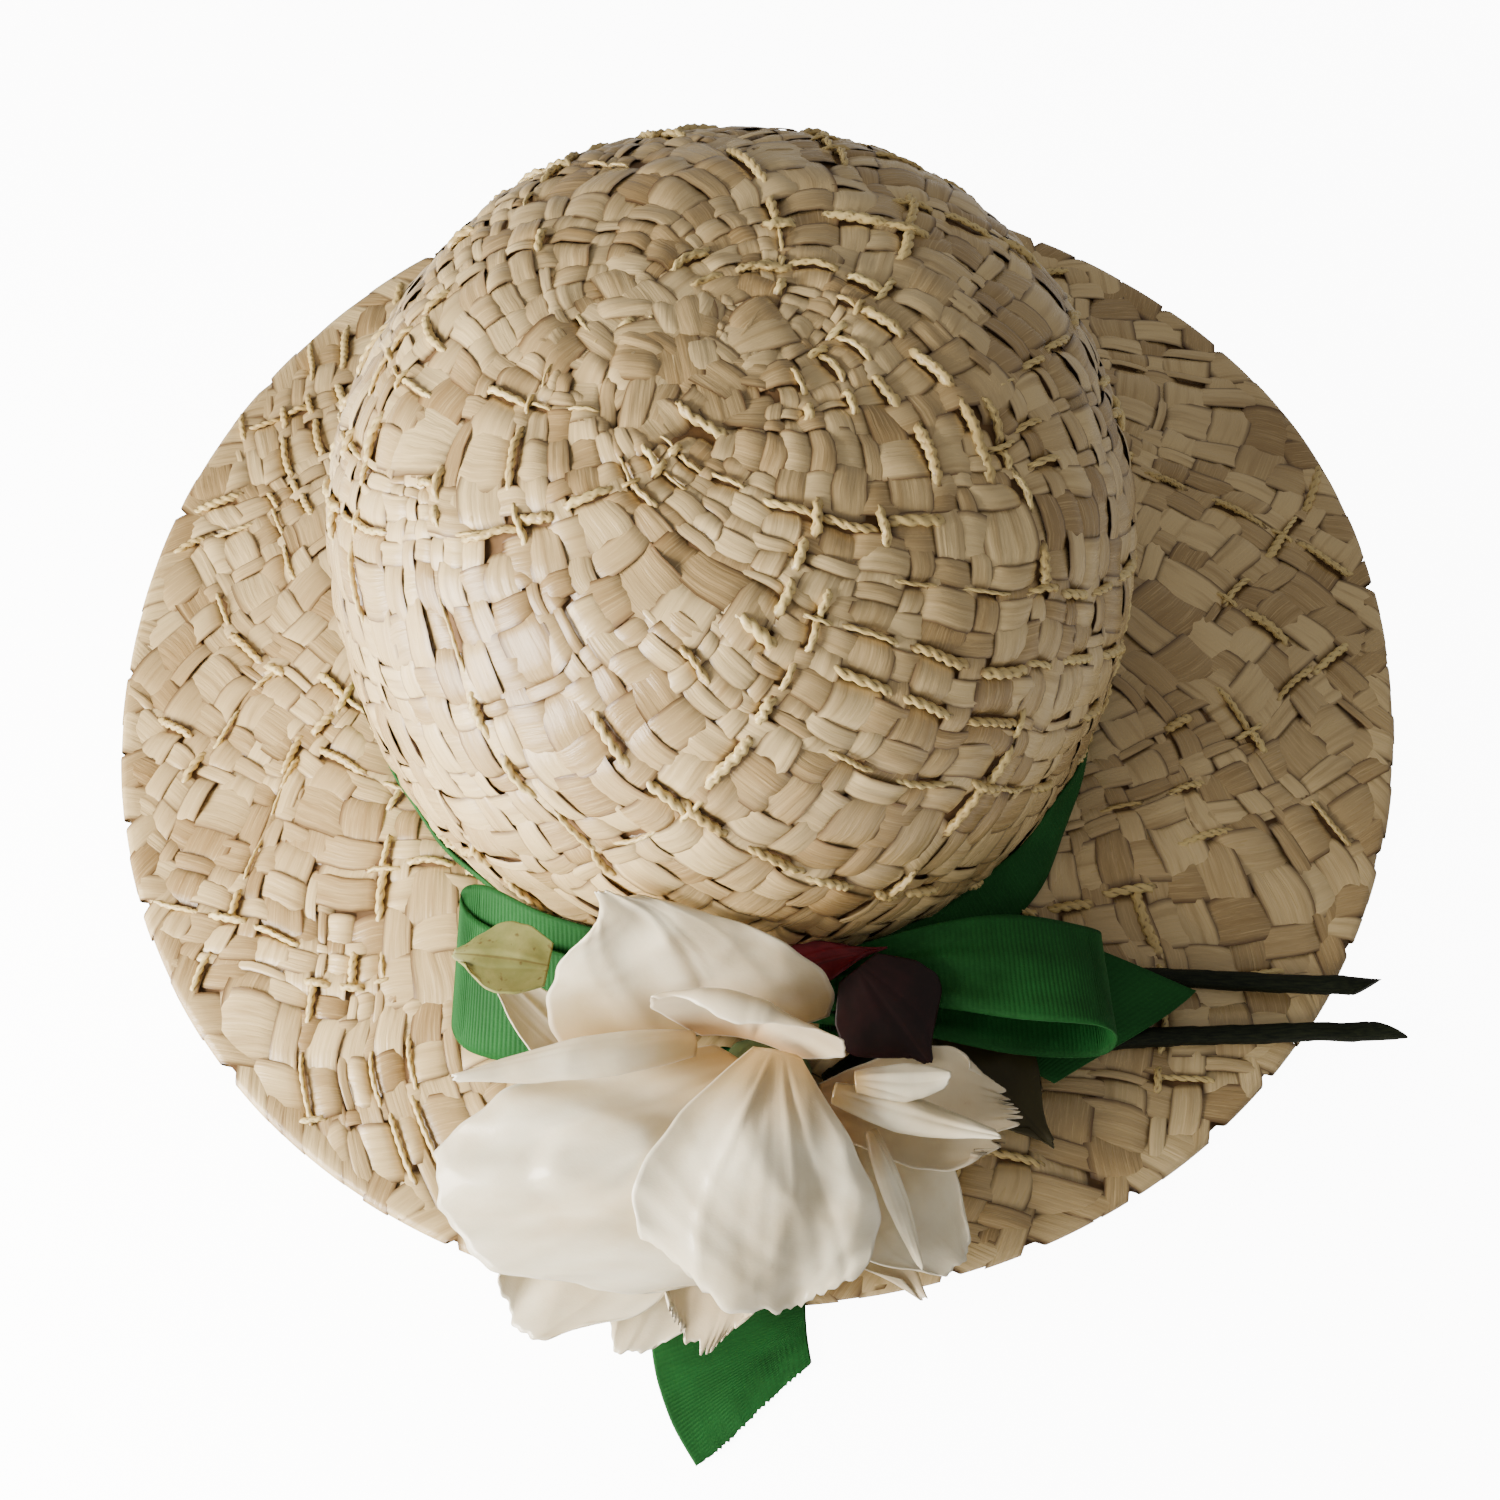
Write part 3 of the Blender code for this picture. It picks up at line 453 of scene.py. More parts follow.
        def edge(family, place, other):
            """Where a strip's edge lies as it passes another: each one wanders by itself."""
            phase = random.Random(seed * 31 + family * 7 + place % count).uniform(0.0, 2.0 * pi)
            wander = sin(0.83 * other + phase) + 0.7 * sin(0.41 * other + 2.3 * phase)
            return edges[family][place % count] + 2.0 * pi * (place // count) + 0.17 * pitch * wander

        def sides(family, place, other):
            low, high = edge(family, place, other), edge(family, place + 1, other)
            return low, max(high, low + 0.30 * pitch)

        for i in range(count):
            middle = edges[0][i] + 0.5 * pitch
            lowest = int(np.floor((middle - 2.0 * last) / (2 * pi) * count)) - 5
            highest = int(np.ceil((middle - 2.0 * first) / (2 * pi) * count)) + 5
            for j in range(lowest, highest):
                u0, u1 = sides(0, i, j)
                v0, v1 = sides(1, j, i)
                spiral = 0.25 * (u0 + u1 - v0 - v1)
                if not first <= spiral < last:
                    continue
                chance = random.Random(seed * 1000003 + i * 1009 + (j % 4096))
                scale = float(self.scale(spiral)) / DIAGONAL
                if (i + j) % 2 == (0 if self.side > 0 else 1):
                    kind = self.kind_here(kinds[0][i], (u1 - u0) * scale, i, j // 3, seed)
                    before, after = v0 - edge(1, j - 1, i), edge(1, j + 2, i) - v1
                    span = Span(u0, u1, v0, v1, before, after, True)
                else:
                    over = j % count
                    kind = self.kind_here(kinds[1][over], (v1 - v0) * scale, over, i // 3 + 500, seed)
                    before, after = u0 - edge(0, i - 1, j), edge(0, i + 2, j) - u1
                    span = Span(v0, v1, u0, u1, before, after, False)
                make = self.cord if kind == "cord" else self.strip
                make(span, chance, fine)

    def mesh(self, name, kinds):
        """The patches of these kinds as one mesh, with a slot for each kind."""
        chosen = [patch for patch in self.patches if patch.kind in kinds]
        starts = np.cumsum([0] + [len(patch.points) for patch in chosen])
        points = np.concatenate([patch.points for patch in chosen])
        faces = np.concatenate([patch.faces + start for patch, start in zip(chosen, starts)])
        mesh = bpy.data.meshes.new(name)
        mesh.from_pydata(points.tolist(), [], faces.tolist())
        paint_mesh(mesh, faces, "fibre", np.concatenate([patch.fibre for patch in chosen]),
                   np.concatenate([patch.looks for patch in chosen]))
        slots = np.concatenate([np.full(len(patch.faces), kinds.index(patch.kind)) for patch in chosen])
        mesh.polygons.foreach_set("material_index", slots.astype(np.int32))
        mesh.polygons.foreach_set("use_smooth", np.ones(len(faces), bool))
        mesh.validate()
        return mesh


def straw_material(name, light, dark, painted_shade_colour, fibres=2600.0):
    """Dried raffia: papery, glossy along its fibres, with painted shade along its sides and where it dives
    under the next strip.
    """
    paint = Paint(name)
    tone, painted_shade, side = paint.painted_looks()
    places = paint.flat_places("fibre")
    grain = paint.noise(places, (110.0, fibres), 4.0, 0.6)
    streak = paint.noise(places, (45.0, 420.0), 2.0)
    patch = paint.noise(paint.solid_places(), 16.0, 3.0)
    browner = (dark[0] * 0.86, dark[1] * 0.80, dark[2] * 0.66)
    paler = (min(light[0] * 1.08, 1.0), light[1] * 1.07, light[2] * 1.06)
    colour = paint.mix(light, dark, paint.spread(tone, 0.20, 1.0, 0.88))
    # The last two mixes are painted shade: dark brown along each strip's sides and where it dives under the
    # next.
    for other, source, low, high, most in (
        (browner, streak, 0.50, 0.74, 0.55),
        (paler, grain, 0.52, 0.75, 0.7),
        (dark, patch, 0.50, 0.72, 0.45),
        (painted_shade_colour, side, 0.45, 1.0, 0.85),
        (painted_shade_colour, painted_shade, 0.25, 0.9, 0.92),
    ):
        colour = paint.mix(colour, other, paint.spread(source, low, high, most))
    paint.colour(colour)
    paint.link(paint.spread(streak, 0.0, 1.0, 0.40, 0.18), paint.shader.inputs["Roughness"])
    paint.bumps((grain, 0.45, 0.00022), (streak, 0.6, 0.0007))
    return paint.material


STRAW = straw_material("raffia_strips", light=(0.72, 0.545, 0.280), dark=(0.31, 0.195, 0.076),
                       painted_shade_colour=(0.075, 0.028, 0.007))
STRAW_CORD = straw_material("raffia_cord", light=(0.80, 0.63, 0.28), dark=(0.52, 0.36, 0.13),
                            painted_shade_colour=(0.12, 0.050, 0.012), fibres=3200.0)


def plain_material(name, dark, light, scale, rough, bump):
    """Rough straw or cloth of two shades, mottled all over."""
    paint = Paint(name)
    noise = paint.noise(paint.solid_places(), scale, 4.0)
    paint.colour(paint.shades(noise, dark, light))
    paint.give({"Roughness": rough})
    paint.bumps((noise, bump, 0.0004))
    return paint.material


# The straw behind the strips, painted dark brown as the shade that shows between them.
STRAW_BACK_SHADED = plain_material("raffia_behind_painted_shade", (0.07, 0.033, 0.011), (0.24, 0.13, 0.046), 240.0, 0.85, 0.6)


def wall_between(weave, skin, spirals, turns, outer, inner):
    """The straw behind the strips that show, as two plain skins back to back, dark with painted shade."""
    turn = np.linspace(0.0, 2.0 * pi, turns, endpoint=False)
    spiral, turn = np.meshgrid(spirals, turn, indexing="ij")
    middle, normal = skin(turn, spiral)
    for height, way in ((outer, 1), (inner, -1)):
        points = (middle + normal * height)[:, ::way]
        blank = np.zeros(points.shape)
        weave.add_grid(points, blank[..., :2], blank, BEHIND, closed=True)


def show(mesh, name, materials, nodes=()):
    """Puts a finished mesh in the scene as a piece of the hat that rides on it."""
    for material in materials:
        mesh.materials.append(material)
    piece = bpy.data.objects.new(name, mesh)
    bpy.context.scene.collection.objects.link(piece)
    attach(piece, "root")
    if nodes:
        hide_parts(*nodes)
    return piece


def spiral_at(radius):
    """How far down the spiral the crown's top has this radius."""
    return float(np.interp(radius, CROWN_DOME[:400, 0], CROWN_SPIRAL[:400]))


SPIRAL_END = CROWN_SPIRAL[-1]
SPIRAL_START = spiral_at(0.0055)
SPIRAL_KNOT = spiral_at(0.0260)
SPIRAL_SHOULDER = spiral_at(0.0620)


def folded_ends(weave, count, seed):
    """The strips' first ends, folded over each other round the middle of the weave."""
    chance = random.Random(seed)
    t, c = grid(9, 6)
    for place in range(count):
        heading = 2.0 * pi * (place * 0.618 + chance.uniform(-0.05, 0.05))
        off = heading + chance.uniform(-0.9, 0.9)
        out = chance.uniform(0.003, 0.020)
        length, width = chance.uniform(0.006, 0.010), chance.uniform(0.0030, 0.0058)
        across = c * width * (1.0 - chance.uniform(0.1, 0.35) * t**2) + chance.uniform(-0.002, 0.002) * t
        along = t * length
        x = WEAVE_POLE[0] + out * cos(heading) + along * cos(off) - across * sin(off)
        y = WEAVE_POLE[1] + out * sin(heading) + along * sin(off) + across * cos(off)
        top = np.interp(np.hypot(x, y), CROWN_DOME[:, 0], CROWN_DOME[:, 1])
        size, ridge = chance.uniform(-0.0009, 0.0009), chance.uniform(-0.5, 0.5)
        fold = size * np.clip(1.0 - np.abs(c - ridge) * 2.2, 0.0, 1.0)
        height = 0.0016 + chance.uniform(-0.0006, 0.0009) - 0.0028 * np.abs(t) ** 4
        height = height - 0.0005 * c**2 + 1.4 * fold
        points = np.stack([x + CROWN_MIDDLE[0], y * CROWN_LENGTHWAYS + CROWN_MIDDLE[1], top + height], -1)
        fibre = np.stack([along + chance.uniform(0, 9), across + chance.uniform(0, 9)], -1)
        tone = np.full_like(t, chance.random())
        # Painted shade towards each end and along each side.
        looks = np.stack([tone, ease((np.abs(t) - 0.6) / 0.4), ease((np.abs(c) - 0.7) / 0.3)], -1)
        weave.add_grid(points, fibre, looks, STRIP)


crown_outside = Weave(crown_skin, crown_scale, 1.0, SPIRAL_START, SPIRAL_END)
crown_outside.zone(16, SPIRAL_START, SPIRAL_KNOT, 31)
crown_outside.zone(32, SPIRAL_KNOT - 0.05, SPIRAL_SHOULDER, 47)
crown_outside.zone(56, SPIRAL_SHOULDER - 0.03, SPIRAL_END + 0.02, 59)
folded_ends(crown_outside, 44, 5)
wall_between(crown_outside, crown_skin, np.linspace(0.02, SPIRAL_END, 60), 72, -0.0004, -0.0016)
show(crown_outside.mesh("crown_straw", (STRIP, BEHIND)), "crown_straw", (STRAW, STRAW_BACK_SHADED),
     ("crown_top", "crown_side"))
show(crown_outside.mesh("crown_cords", (CORD,)), "crown_cords", (STRAW_CORD,))


def crown_lining(turn, spiral):
    """Points and outward normals of the crown's inside."""
    middle, normal = crown_skin(turn, spiral)
    return middle - WALL * normal, normal


crown_inside = Weave(crown_lining, crown_scale, -1.0, SPIRAL_START, SPIRAL_END)
crown_inside.zone(16, SPIRAL_START, SPIRAL_KNOT, 31, fine=False)
crown_inside.zone(32, SPIRAL_KNOT - 0.05, SPIRAL_SHOULDER, 47, fine=False)
crown_inside.zone(56, SPIRAL_SHOULDER - 0.03, SPIRAL_END, 59, fine=False)
show(crown_inside.mesh("crown_straw_inside", (STRIP, CORD)), "crown_straw_inside", (STRAW, STRAW_CORD))


# Straw of the brim
# The same weave runs out into the brim, with strips added so that they stay as wide. At the
# edge each strip is turned under and woven back, which leaves a soft rounded rim.

BRIM_RADIUS = 0.1745
BRIM_ROOT = 0.0165  # how high it stands where it meets the crown
BRIM_FLAT = 0.0060  # how much of its edge lies on the table
BRIM_LIFT, LIFT_START = 0.0030, 0.3
BRIM_SWEEP = 0.45  # how much of its fall is a soft S, the rest being straight
BRIM_INNER = CROWN_FOOT - WALL
EDGE_ROUND = 0.0010
BRIM_LAST = 1.0 - EDGE_ROUND / (BRIM_RADIUS - BRIM_INNER)  # where the edge turns under
UPWARD = np.array([0.0, 0.0, 1.0])
PRESSED = 0.0012  # what lies lower than this over the table is pressed flat
EdgeWave = namedtuple("EdgeWave", "waves share turn")
EDGE_WAVES = (EdgeWave(2, 0.0125, 78.0), EdgeWave(3, 0.0041, 13.0), EdgeWave(4, 0.0058, 45.0))
Lift = namedtuple("Lift", "heading spread share")
BRIM_LIFTS = (Lift(20.0, 34.0, 0.9), Lift(118.0, 30.0, 1.0), Lift(205.0, 32.0, 0.7))


def turn_between(heading, other):
    """The angle between two headings in degrees, from 0 to 180."""
    return np.abs((heading - other + 180.0) % 360.0 - 180.0)


def brim_radius(turn):
    waves = sum(wave.share * np.cos(wave.waves * (turn - radians(wave.turn))) for wave in EDGE_WAVES)
    return BRIM_RADIUS * (1.0 + waves)


def brim_top(turn, share):
    """The brim's top, from the crown's inner wall (0) to the edge (1), round the middle of the brim."""
    start_x = CROWN_OFF[0] + BRIM_INNER * np.cos(turn)
    start_y = CROWN_OFF[1] + CROWN_LENGTHWAYS * BRIM_INNER * np.sin(turn)
    start = np.stack([start_x, start_y], -1)
    reach = brim_radius(turn)
    end = np.stack([reach * np.cos(turn), reach * np.sin(turn)], -1)
    plan = start + (end - start) * share[..., None]
    flat = BRIM_FLAT / (BRIM_RADIUS - CROWN_FOOT)
    slope = 1.0 - np.minimum(share / (1.0 - flat), 1.0)
    fall = BRIM_SWEEP * ease(slope) + (1.0 - BRIM_SWEEP) * slope
    lift = 0.0
    for place in BRIM_LIFTS:
        lift = lift + ease(1.0 - turn_between(np.degrees(turn), place.heading) / place.spread) * place.share
    lift = BRIM_LIFT * lift * ease((share - LIFT_START) / (1.0 - LIFT_START))
    height = WALL + (BRIM_ROOT - WALL) * fall + lift
    return np.concatenate([plan, height[..., None]], -1)


def brim_share(spiral):
    """How far out across the brim a place on the spiral lies, from 0 to 1."""
    return (BRIM_INNER * np.exp(spiral) - BRIM_INNER) / (BRIM_RADIUS - BRIM_INNER)


def brim_skin(turn, spiral):
    """Points and normals of the brim's top, which stops at its edge."""
    share = brim_share(spiral)
    middle = brim_top(turn, np.clip(share, 0.0, BRIM_LAST))
    outward = np.stack([np.cos(turn), np.sin(turn), 0.0 * turn], -1)
    tilt = 0.17 * np.clip(1.0 - share, 0.0, 1.0)[..., None]
    normal = UPWARD * (1.0 - tilt) + outward * tilt
    swell = 0.0007 * np.sin(5.0 * turn + 7.0 * spiral) * np.sin(4.0 * turn - 8.0 * spiral)
    middle = middle + normal * (np.clip(swell, -0.0004, 1.0) * ease((1.0 - share) * 4.0))[..., None]
    middle[..., 0] += HAT_X
    middle[..., 1] += HAT_Y
    return middle, normal


def brim_scale(spiral):
    return BRIM_INNER * np.exp(spiral)


def brim_under(turn, spiral):
    """Points and normals of the brim's underside."""
    middle, normal = brim_skin(turn, np.minimum(spiral, SPIRAL_EDGE - 0.012))
    return middle - normal * WALL * 0.85, normal


def pressed_flat(points):
    """Where the brim lies on the table, its underside is pressed flat by it."""
    height = points[..., 2]
    squashed = PRESSED * np.exp(np.minimum(height - PRESSED, 0.0) / PRESSED)
    points[..., 2] = np.where(height < PRESSED, squashed, height)


SPIRAL_EDGE = float(np.log(BRIM_RADIUS / BRIM_INNER))
SPIRAL_MORE = float(np.log(0.1290 / BRIM_INNER))  # where strips are added

# Out from the edge and up from its middle, as a strip bends over and under it.
RIM_PATH = (
    (-0.0085, 0.0002),
    (-0.0060, 0.0009),
    (-0.0030, 0.0013),
    (-0.0008, 0.0013),
    (0.0006, 0.0008),
    (0.0010, -0.0002),
    (0.0006, -0.0010),
    (-0.0010, -0.0014),
    (-0.0040, -0.0012),
)


def turned_ends(weave, count, seed):
    """The strips' last ends, each bent round the edge and under it, side by side on the slant."""
    chance = random.Random(seed)
    out, up = np.array(RIM_PATH).T
    way = np.append(0.0, np.cumsum(np.hypot(np.diff(out), np.diff(up))))
    _, c = grid(len(out), 5)
    way, raised, past = (np.repeat(x[:, None], 5, axis=1) for x in (way, up, out))
    # Painted shade along each strip's sides and on its first row, where it comes out from under the weave.
    side = ease((np.abs(c) - 0.7) / 0.3)
    painted_shade = np.zeros_like(side)
    painted_shade[0] = 1.0
    place = 0.0
    while place < 2.0 * pi - 0.01:
        wide = 2.0 * pi / count * chance.uniform(0.6, 1.5)
        slant = chance.choice((-1, 1)) * chance.uniform(0.2, 0.7)
        turn = place + 0.5 * wide * (1.0 + 1.12 * c) + slant * (past + 0.003) / BRIM_RADIUS * 1.6
        base = brim_top(turn, np.full(turn.shape, BRIM_LAST))
        outward = np.stack([np.cos(turn), np.sin(turn), 0.0 * turn], -1)
        reach = past * chance.uniform(0.75, 1.15) + chance.uniform(-0.0003, 0.0002)
        lift = raised * (1.0 - 0.14 * c**2)
        points = base + outward * reach[..., None] + lift[..., None] * UPWARD
        points = points + np.array([HAT_X, HAT_Y, 0.0])
        fibre = np.stack([way + chance.uniform(0, 9), c * wide * 0.09 + chance.uniform(0, 9)], -1)
        looks = np.stack([np.full_like(side, chance.random()), painted_shade, side], -1)
        weave.add_grid(points, fibre, looks, STRIP)
        place += wide


brim_outside = Weave(brim_skin, brim_scale, 1.0, 0.0, SPIRAL_EDGE)
brim_outside.zone(66, 0.0, SPIRAL_MORE, 71)
brim_outside.zone(90, SPIRAL_MORE - 0.02, SPIRAL_EDGE - 0.02, 83)
turned_ends(brim_outside, 118, 9)
wall_between(brim_outside, brim_skin, np.linspace(0.0, SPIRAL_EDGE - 0.011, 24), 144, -0.0004, -0.0015)
show(brim_outside.mesh("brim_straw", (STRIP, BEHIND)), "brim_straw", (STRAW, STRAW_BACK_SHADED), ("brim",))
show(brim_outside.mesh("brim_cords", (CORD,)), "brim_cords", (STRAW_CORD,))

brim_inside = Weave(brim_under, brim_scale, -1.0, 0.0, SPIRAL_EDGE)
brim_inside.zone(66, 0.0, SPIRAL_MORE, 71, fine=False)
brim_inside.zone(90, SPIRAL_MORE - 0.02, SPIRAL_EDGE - 0.02, 83, fine=False)
for patch in brim_inside.patches:
    pressed_flat(patch.points)
show(brim_inside.mesh("brim_straw_under", (STRIP, CORD)), "brim_straw_under", (STRAW, STRAW_CORD))


# Ribbon band and bow
# Green ribbed ribbon, woven flat with fine cords across it. A length is drawn round the foot
# of the crown and stitched, and a second one is tied into the bow over the seam.

RIBBON_WIDTH = 0.0360
BOW_REACH = 0.0800
BOW_SIDE, BOW_OUT = 0.0040, 0.0051
CROWN_FRONT = HAT_Y + CROWN_OFF[1] - CROWN_LENGTHWAYS * CROWN_RADIUS
BOW = (HAT_X + BOW_SIDE, CROWN_FRONT - BOW_OUT)
BAND_WIDTH, BAND_GATHER = 0.0180, 0.4
RIB_PITCH = 0.00105
RIB_HEIGHT = 0.00007
RIBBON_THICK = 0.0005
# Places along a ribbon: side and out in shares of the bow's reach, rise and width in shares of the
# ribbon's width, and the heading and tilt of the ribbon's own width in degrees.
Station = namedtuple("Station", "side out rise width heading tilt")
LOOP_RIGHT = (
    Station(0.09, 0.01, 0.42, 0.30, 90.0, 30.0),
    Station(0.42, -0.04, 0.54, 0.50, 92.0, 10.0),
    Station(0.70, -0.04, 0.64, 0.78, 92.0, -8.0),
    Station(0.92, -0.03, 0.64, 0.88, 91.0, -20.0),
    Station(0.99, -0.02, 0.54, 0.88, 90.0, -16.0),
    Station(0.94, 0.00, 0.43, 0.88, 90.0, -8.0),
    Station(0.70, 0.01, 0.40, 0.78, 90.0, 0.0),
    Station(0.42, 0.02, 0.38, 0.50, 90.0, 4.0),
    Station(0.09, 0.02, 0.32, 0.30, 90.0, 10.0),
)
LOOP_LEFT = (
    Station(-0.085, 0.00, 0.42, 0.36, 90.0, 60.0),
    Station(-0.40, -0.01, 0.48, 0.62, 90.0, 60.0),
    Station(-0.66, -0.05, 0.42, 0.80, 88.0, 52.0),
    Station(-0.86, -0.12, 0.41, 0.90, 84.0, 48.0),
    Station(-0.94, -0.10, 0.39, 0.92, 82.0, 45.0),
    Station(-0.88, -0.02, 0.33, 0.90, 84.0, 40.0),
    Station(-0.66, 0.05, 0.35, 0.82, 88.0, 46.0),
    Station(-0.40, 0.07, 0.38, 0.60, 90.0, 54.0),
    Station(-0.085, 0.03, 0.30, 0.34, 90.0, 60.0),
)
TAIL_RIGHT = (
    Station(0.14, 0.05, 0.22, 0.36, 90.0, 4.0),
    Station(0.45, 0.01, 0.21, 0.54, 88.0, 2.0),
    Station(0.76, -0.03, 0.20, 0.94, 76.0, 2.0),
    Station(1.18, 0.13, 0.21, 1.05, 62.0, 4.0),
)
TAIL_FRONT = (
    Station(-0.04, 0.12, 0.04, 0.50, 180.0, 0.0),
    Station(-0.08, 0.35, 0.03, 0.90, 182.0, 0.0),
    Station(-0.12, 0.65, 0.04, 1.00, 186.0, 0.0),
    Station(-0.12, 0.92, 0.04, 1.00, 192.0, 0.0),
    Station(-0.08, 1.10, 0.03, 0.95, 194.0, 0.0),
    Station(-0.01, 1.24, 0.03, 0.90, 194.0, 0.0),
)


def straw_level(x, y):
    """Height of the straw, or of the table past the brim's edge, under a place from the hat's middle."""
    turn = np.arctan2(y, x)
    edge = brim_radius(turn)
    inner = np.hypot(x - CROWN_OFF[0], (y - CROWN_OFF[1]) / CROWN_LENGTHWAYS)
    share = (inner - BRIM_INNER) / (inner - BRIM_INNER + np.maximum(edge - np.hypot(x, y), 0.0))
    past = np.hypot(x, y) - edge
    on_brim = brim_top(turn, np.clip(share, 0.0, 1.0))[..., 2]
    rim = brim_top(turn, np.ones_like(turn))[..., 2] * (1.0 - ease(past / (5.0 * WALL)))
    return np.where(past <= 0.0, on_brim, rim)


def along_rows(rows, share):
    """The columns of a table at an array of shares of the way down it, on a smooth curve."""
    table = np.array(rows)
    at = np.clip(share, 0.0, 1.0) * (len(table) - 1)
    low = np.minimum(at.astype(int), len(table) - 2)
    a, b, c, d = (table[np.clip(low + step, 0, len(table) - 1)] for step in (-1, 0, 1, 2))
    t = (at - low)[..., None]
    slope_b, slope_c = 0.5 * (c - a), 0.5 * (d - b)
    rest = c - b
    return b + t * (slope_b + t * (3 * rest - 2 * slope_b - slope_c + t * (slope_b + slope_c - 2 * rest)))


def ribbon_surface(rows, along, across, cut, pinch=0.0):
    """Points of a ribbon, along it from 0 to 1 and across it from -1 to 1, its end cut on the slant."""
    slant = 0.5 * cut * (1.0 - across) * ease((along - 0.4) / 0.6)
    station = along_rows(rows, along * (1.0 - slant))
    side, out, rise, width, heading, tilt = np.moveaxis(station, -1, 0)
    x = BOW[0] - HAT_X + BOW_REACH * side
    y = BOW[1] - HAT_Y - BOW_REACH * out
    half = 0.5 * RIBBON_WIDTH * width * across
    heading, tilt = np.radians(heading), np.radians(tilt)
    level = straw_level(x, y) + RIBBON_WIDTH * rise + half * np.sin(tilt)
    # Near the knot the ribbon is gathered into soft lengthways folds.
    gather = pinch * np.clip(1.0 - width, 0.0, 1.0)
    level = level + 0.0026 * gather * np.sin(across * 7.0 + 0.6) * np.abs(np.sin(across * 3.2 + 1.0))
    x = x + half * np.cos(tilt) * np.cos(heading)
    y = y + half * np.cos(tilt) * np.sin(heading)
    points = np.stack([x, y, level], -1)
    return points + np.array([HAT_X, HAT_Y, 0.0])


def sheet_normals(points):
    """Unit normals of a grid of points."""
    down, over = np.gradient(points, axis=0), np.gradient(points, axis=1)
    normal = np.cross(down, over)
    return normal / np.maximum(np.linalg.norm(normal, axis=-1, keepdims=True), 1e-12)


def cloth_mesh(name, points, thickness, uv, closed=False, looks=None):
    """A thin cloth with two faces and a closed edge, from a grid of points at its middle."""
    rows, columns = points.shape[:2]
    normal = sheet_normals(points)
    both = np.stack([points + normal * thickness * 0.5, points - normal * thickness * 0.5])
    number = np.arange(2 * rows * columns).reshape(2, rows, columns)
    faces = []

    def quads(grid, flip):
        a, b, c, d = grid[:-1, :-1], grid[1:, :-1], grid[1:, 1:], grid[:-1, 1:]
        order = (a, b, c, d) if not flip else (a, d, c, b)
        faces.append(np.stack(order, -1).reshape(-1, 4))

    front, back = number
    if closed:
        front, back = (np.concatenate([x, x[:1]], 0) for x in (front, back))
    quads(front, False)
    quads(back, True)
    borders = [(front[:, 0], back[:, 0], False), (front[:, -1], back[:, -1], True)]
    if not closed:
        borders += [(front[0], back[0], True), (front[-1], back[-1], False)]
    for edge, other, flip in borders:
        quads(np.stack([edge, other], 1), not flip)
    mesh = bpy.data.meshes.new(name)
    faces = np.concatenate(faces)
    mesh.from_pydata(both.reshape(-1, 3).tolist(), [], faces.tolist())
    if looks is not None:
        looks = np.concatenate([looks.reshape(-1, 3)] * 2)
    paint_mesh(mesh, faces, "cloth", np.concatenate([uv.reshape(-1, 2)] * 2), looks)
    mesh.polygons.foreach_set("use_smooth", np.ones(len(faces), bool))
    mesh.validate()
    return mesh


def ribbed_mesh(name, surface, length, width, columns=20, closed=False, fringe=0.0):
    """A ribbon over surface(along, across), with its fine cords raised across it."""
    rows = int(length / RIB_PITCH * 4)
    along = np.linspace(0.0, 1.0, rows, endpoint=not closed)
    along, across = np.meshgrid(along, np.linspace(-1.0, 1.0, columns), indexing="ij")
    chance = np.random.default_rng(1)
    if fringe:
        teeth = np.abs((np.arange(columns) * 0.5) % 1.0 - 0.5) + chance.uniform(-0.2, 0.2, columns)
        along = along * (1.0 - fringe * teeth[None, :] * along**6)
    points = surface(along, across)
    ribs = RIB_HEIGHT * np.sin(along * length / RIB_PITCH * 2.0 * pi)
    selvedge = 1.0 - ease((np.abs(across) - 0.93) / 0.07)
    points = points + sheet_normals(points) * (ribs * selvedge)[..., None]
    uv = np.stack([along * length, across * 0.5 * width], -1)
    return cloth_mesh(name, points, RIBBON_THICK, uv, closed)


def ribbon_material():
    """Ribbed rayon ribbon: deep green, a soft sheen along the ribs, threads just visible."""
    paint = Paint("green_ribbon")
    places = paint.flat_places("cloth")
    threads = paint.noise(places, (900.0, 2600.0), 3.0)
    worn = paint.noise(places, 70.0, 3.0)
    green = paint.shades(worn, (0.010, 0.080, 0.017), (0.018, 0.135, 0.030), 0.3, 0.75)
    woven = paint.add("ShaderNodeMix", data_type="RGBA", blend_type="MULTIPLY")
    woven.inputs["Factor"].default_value = 0.35
    paint.link(green, woven.inputs[6])
    paint.link(threads, woven.inputs[7])
    paint.colour(woven.outputs[2])
    paint.give({"Roughness": 0.62, "Specular IOR Level": 0.12})
    paint.give({"Sheen Weight": 0.04, "Sheen Roughness": 0.4, "Sheen Tint": (0.35, 0.9, 0.45, 1.0)})
    paint.bumps((threads, 0.35, 0.0002))
    return paint.material


GREEN_RIBBON = ribbon_material()


def crown_radius_at(height):
    return np.interp(-height, -CROWN_ROWS[:, 1], CROWN_ROWS[:, 0])


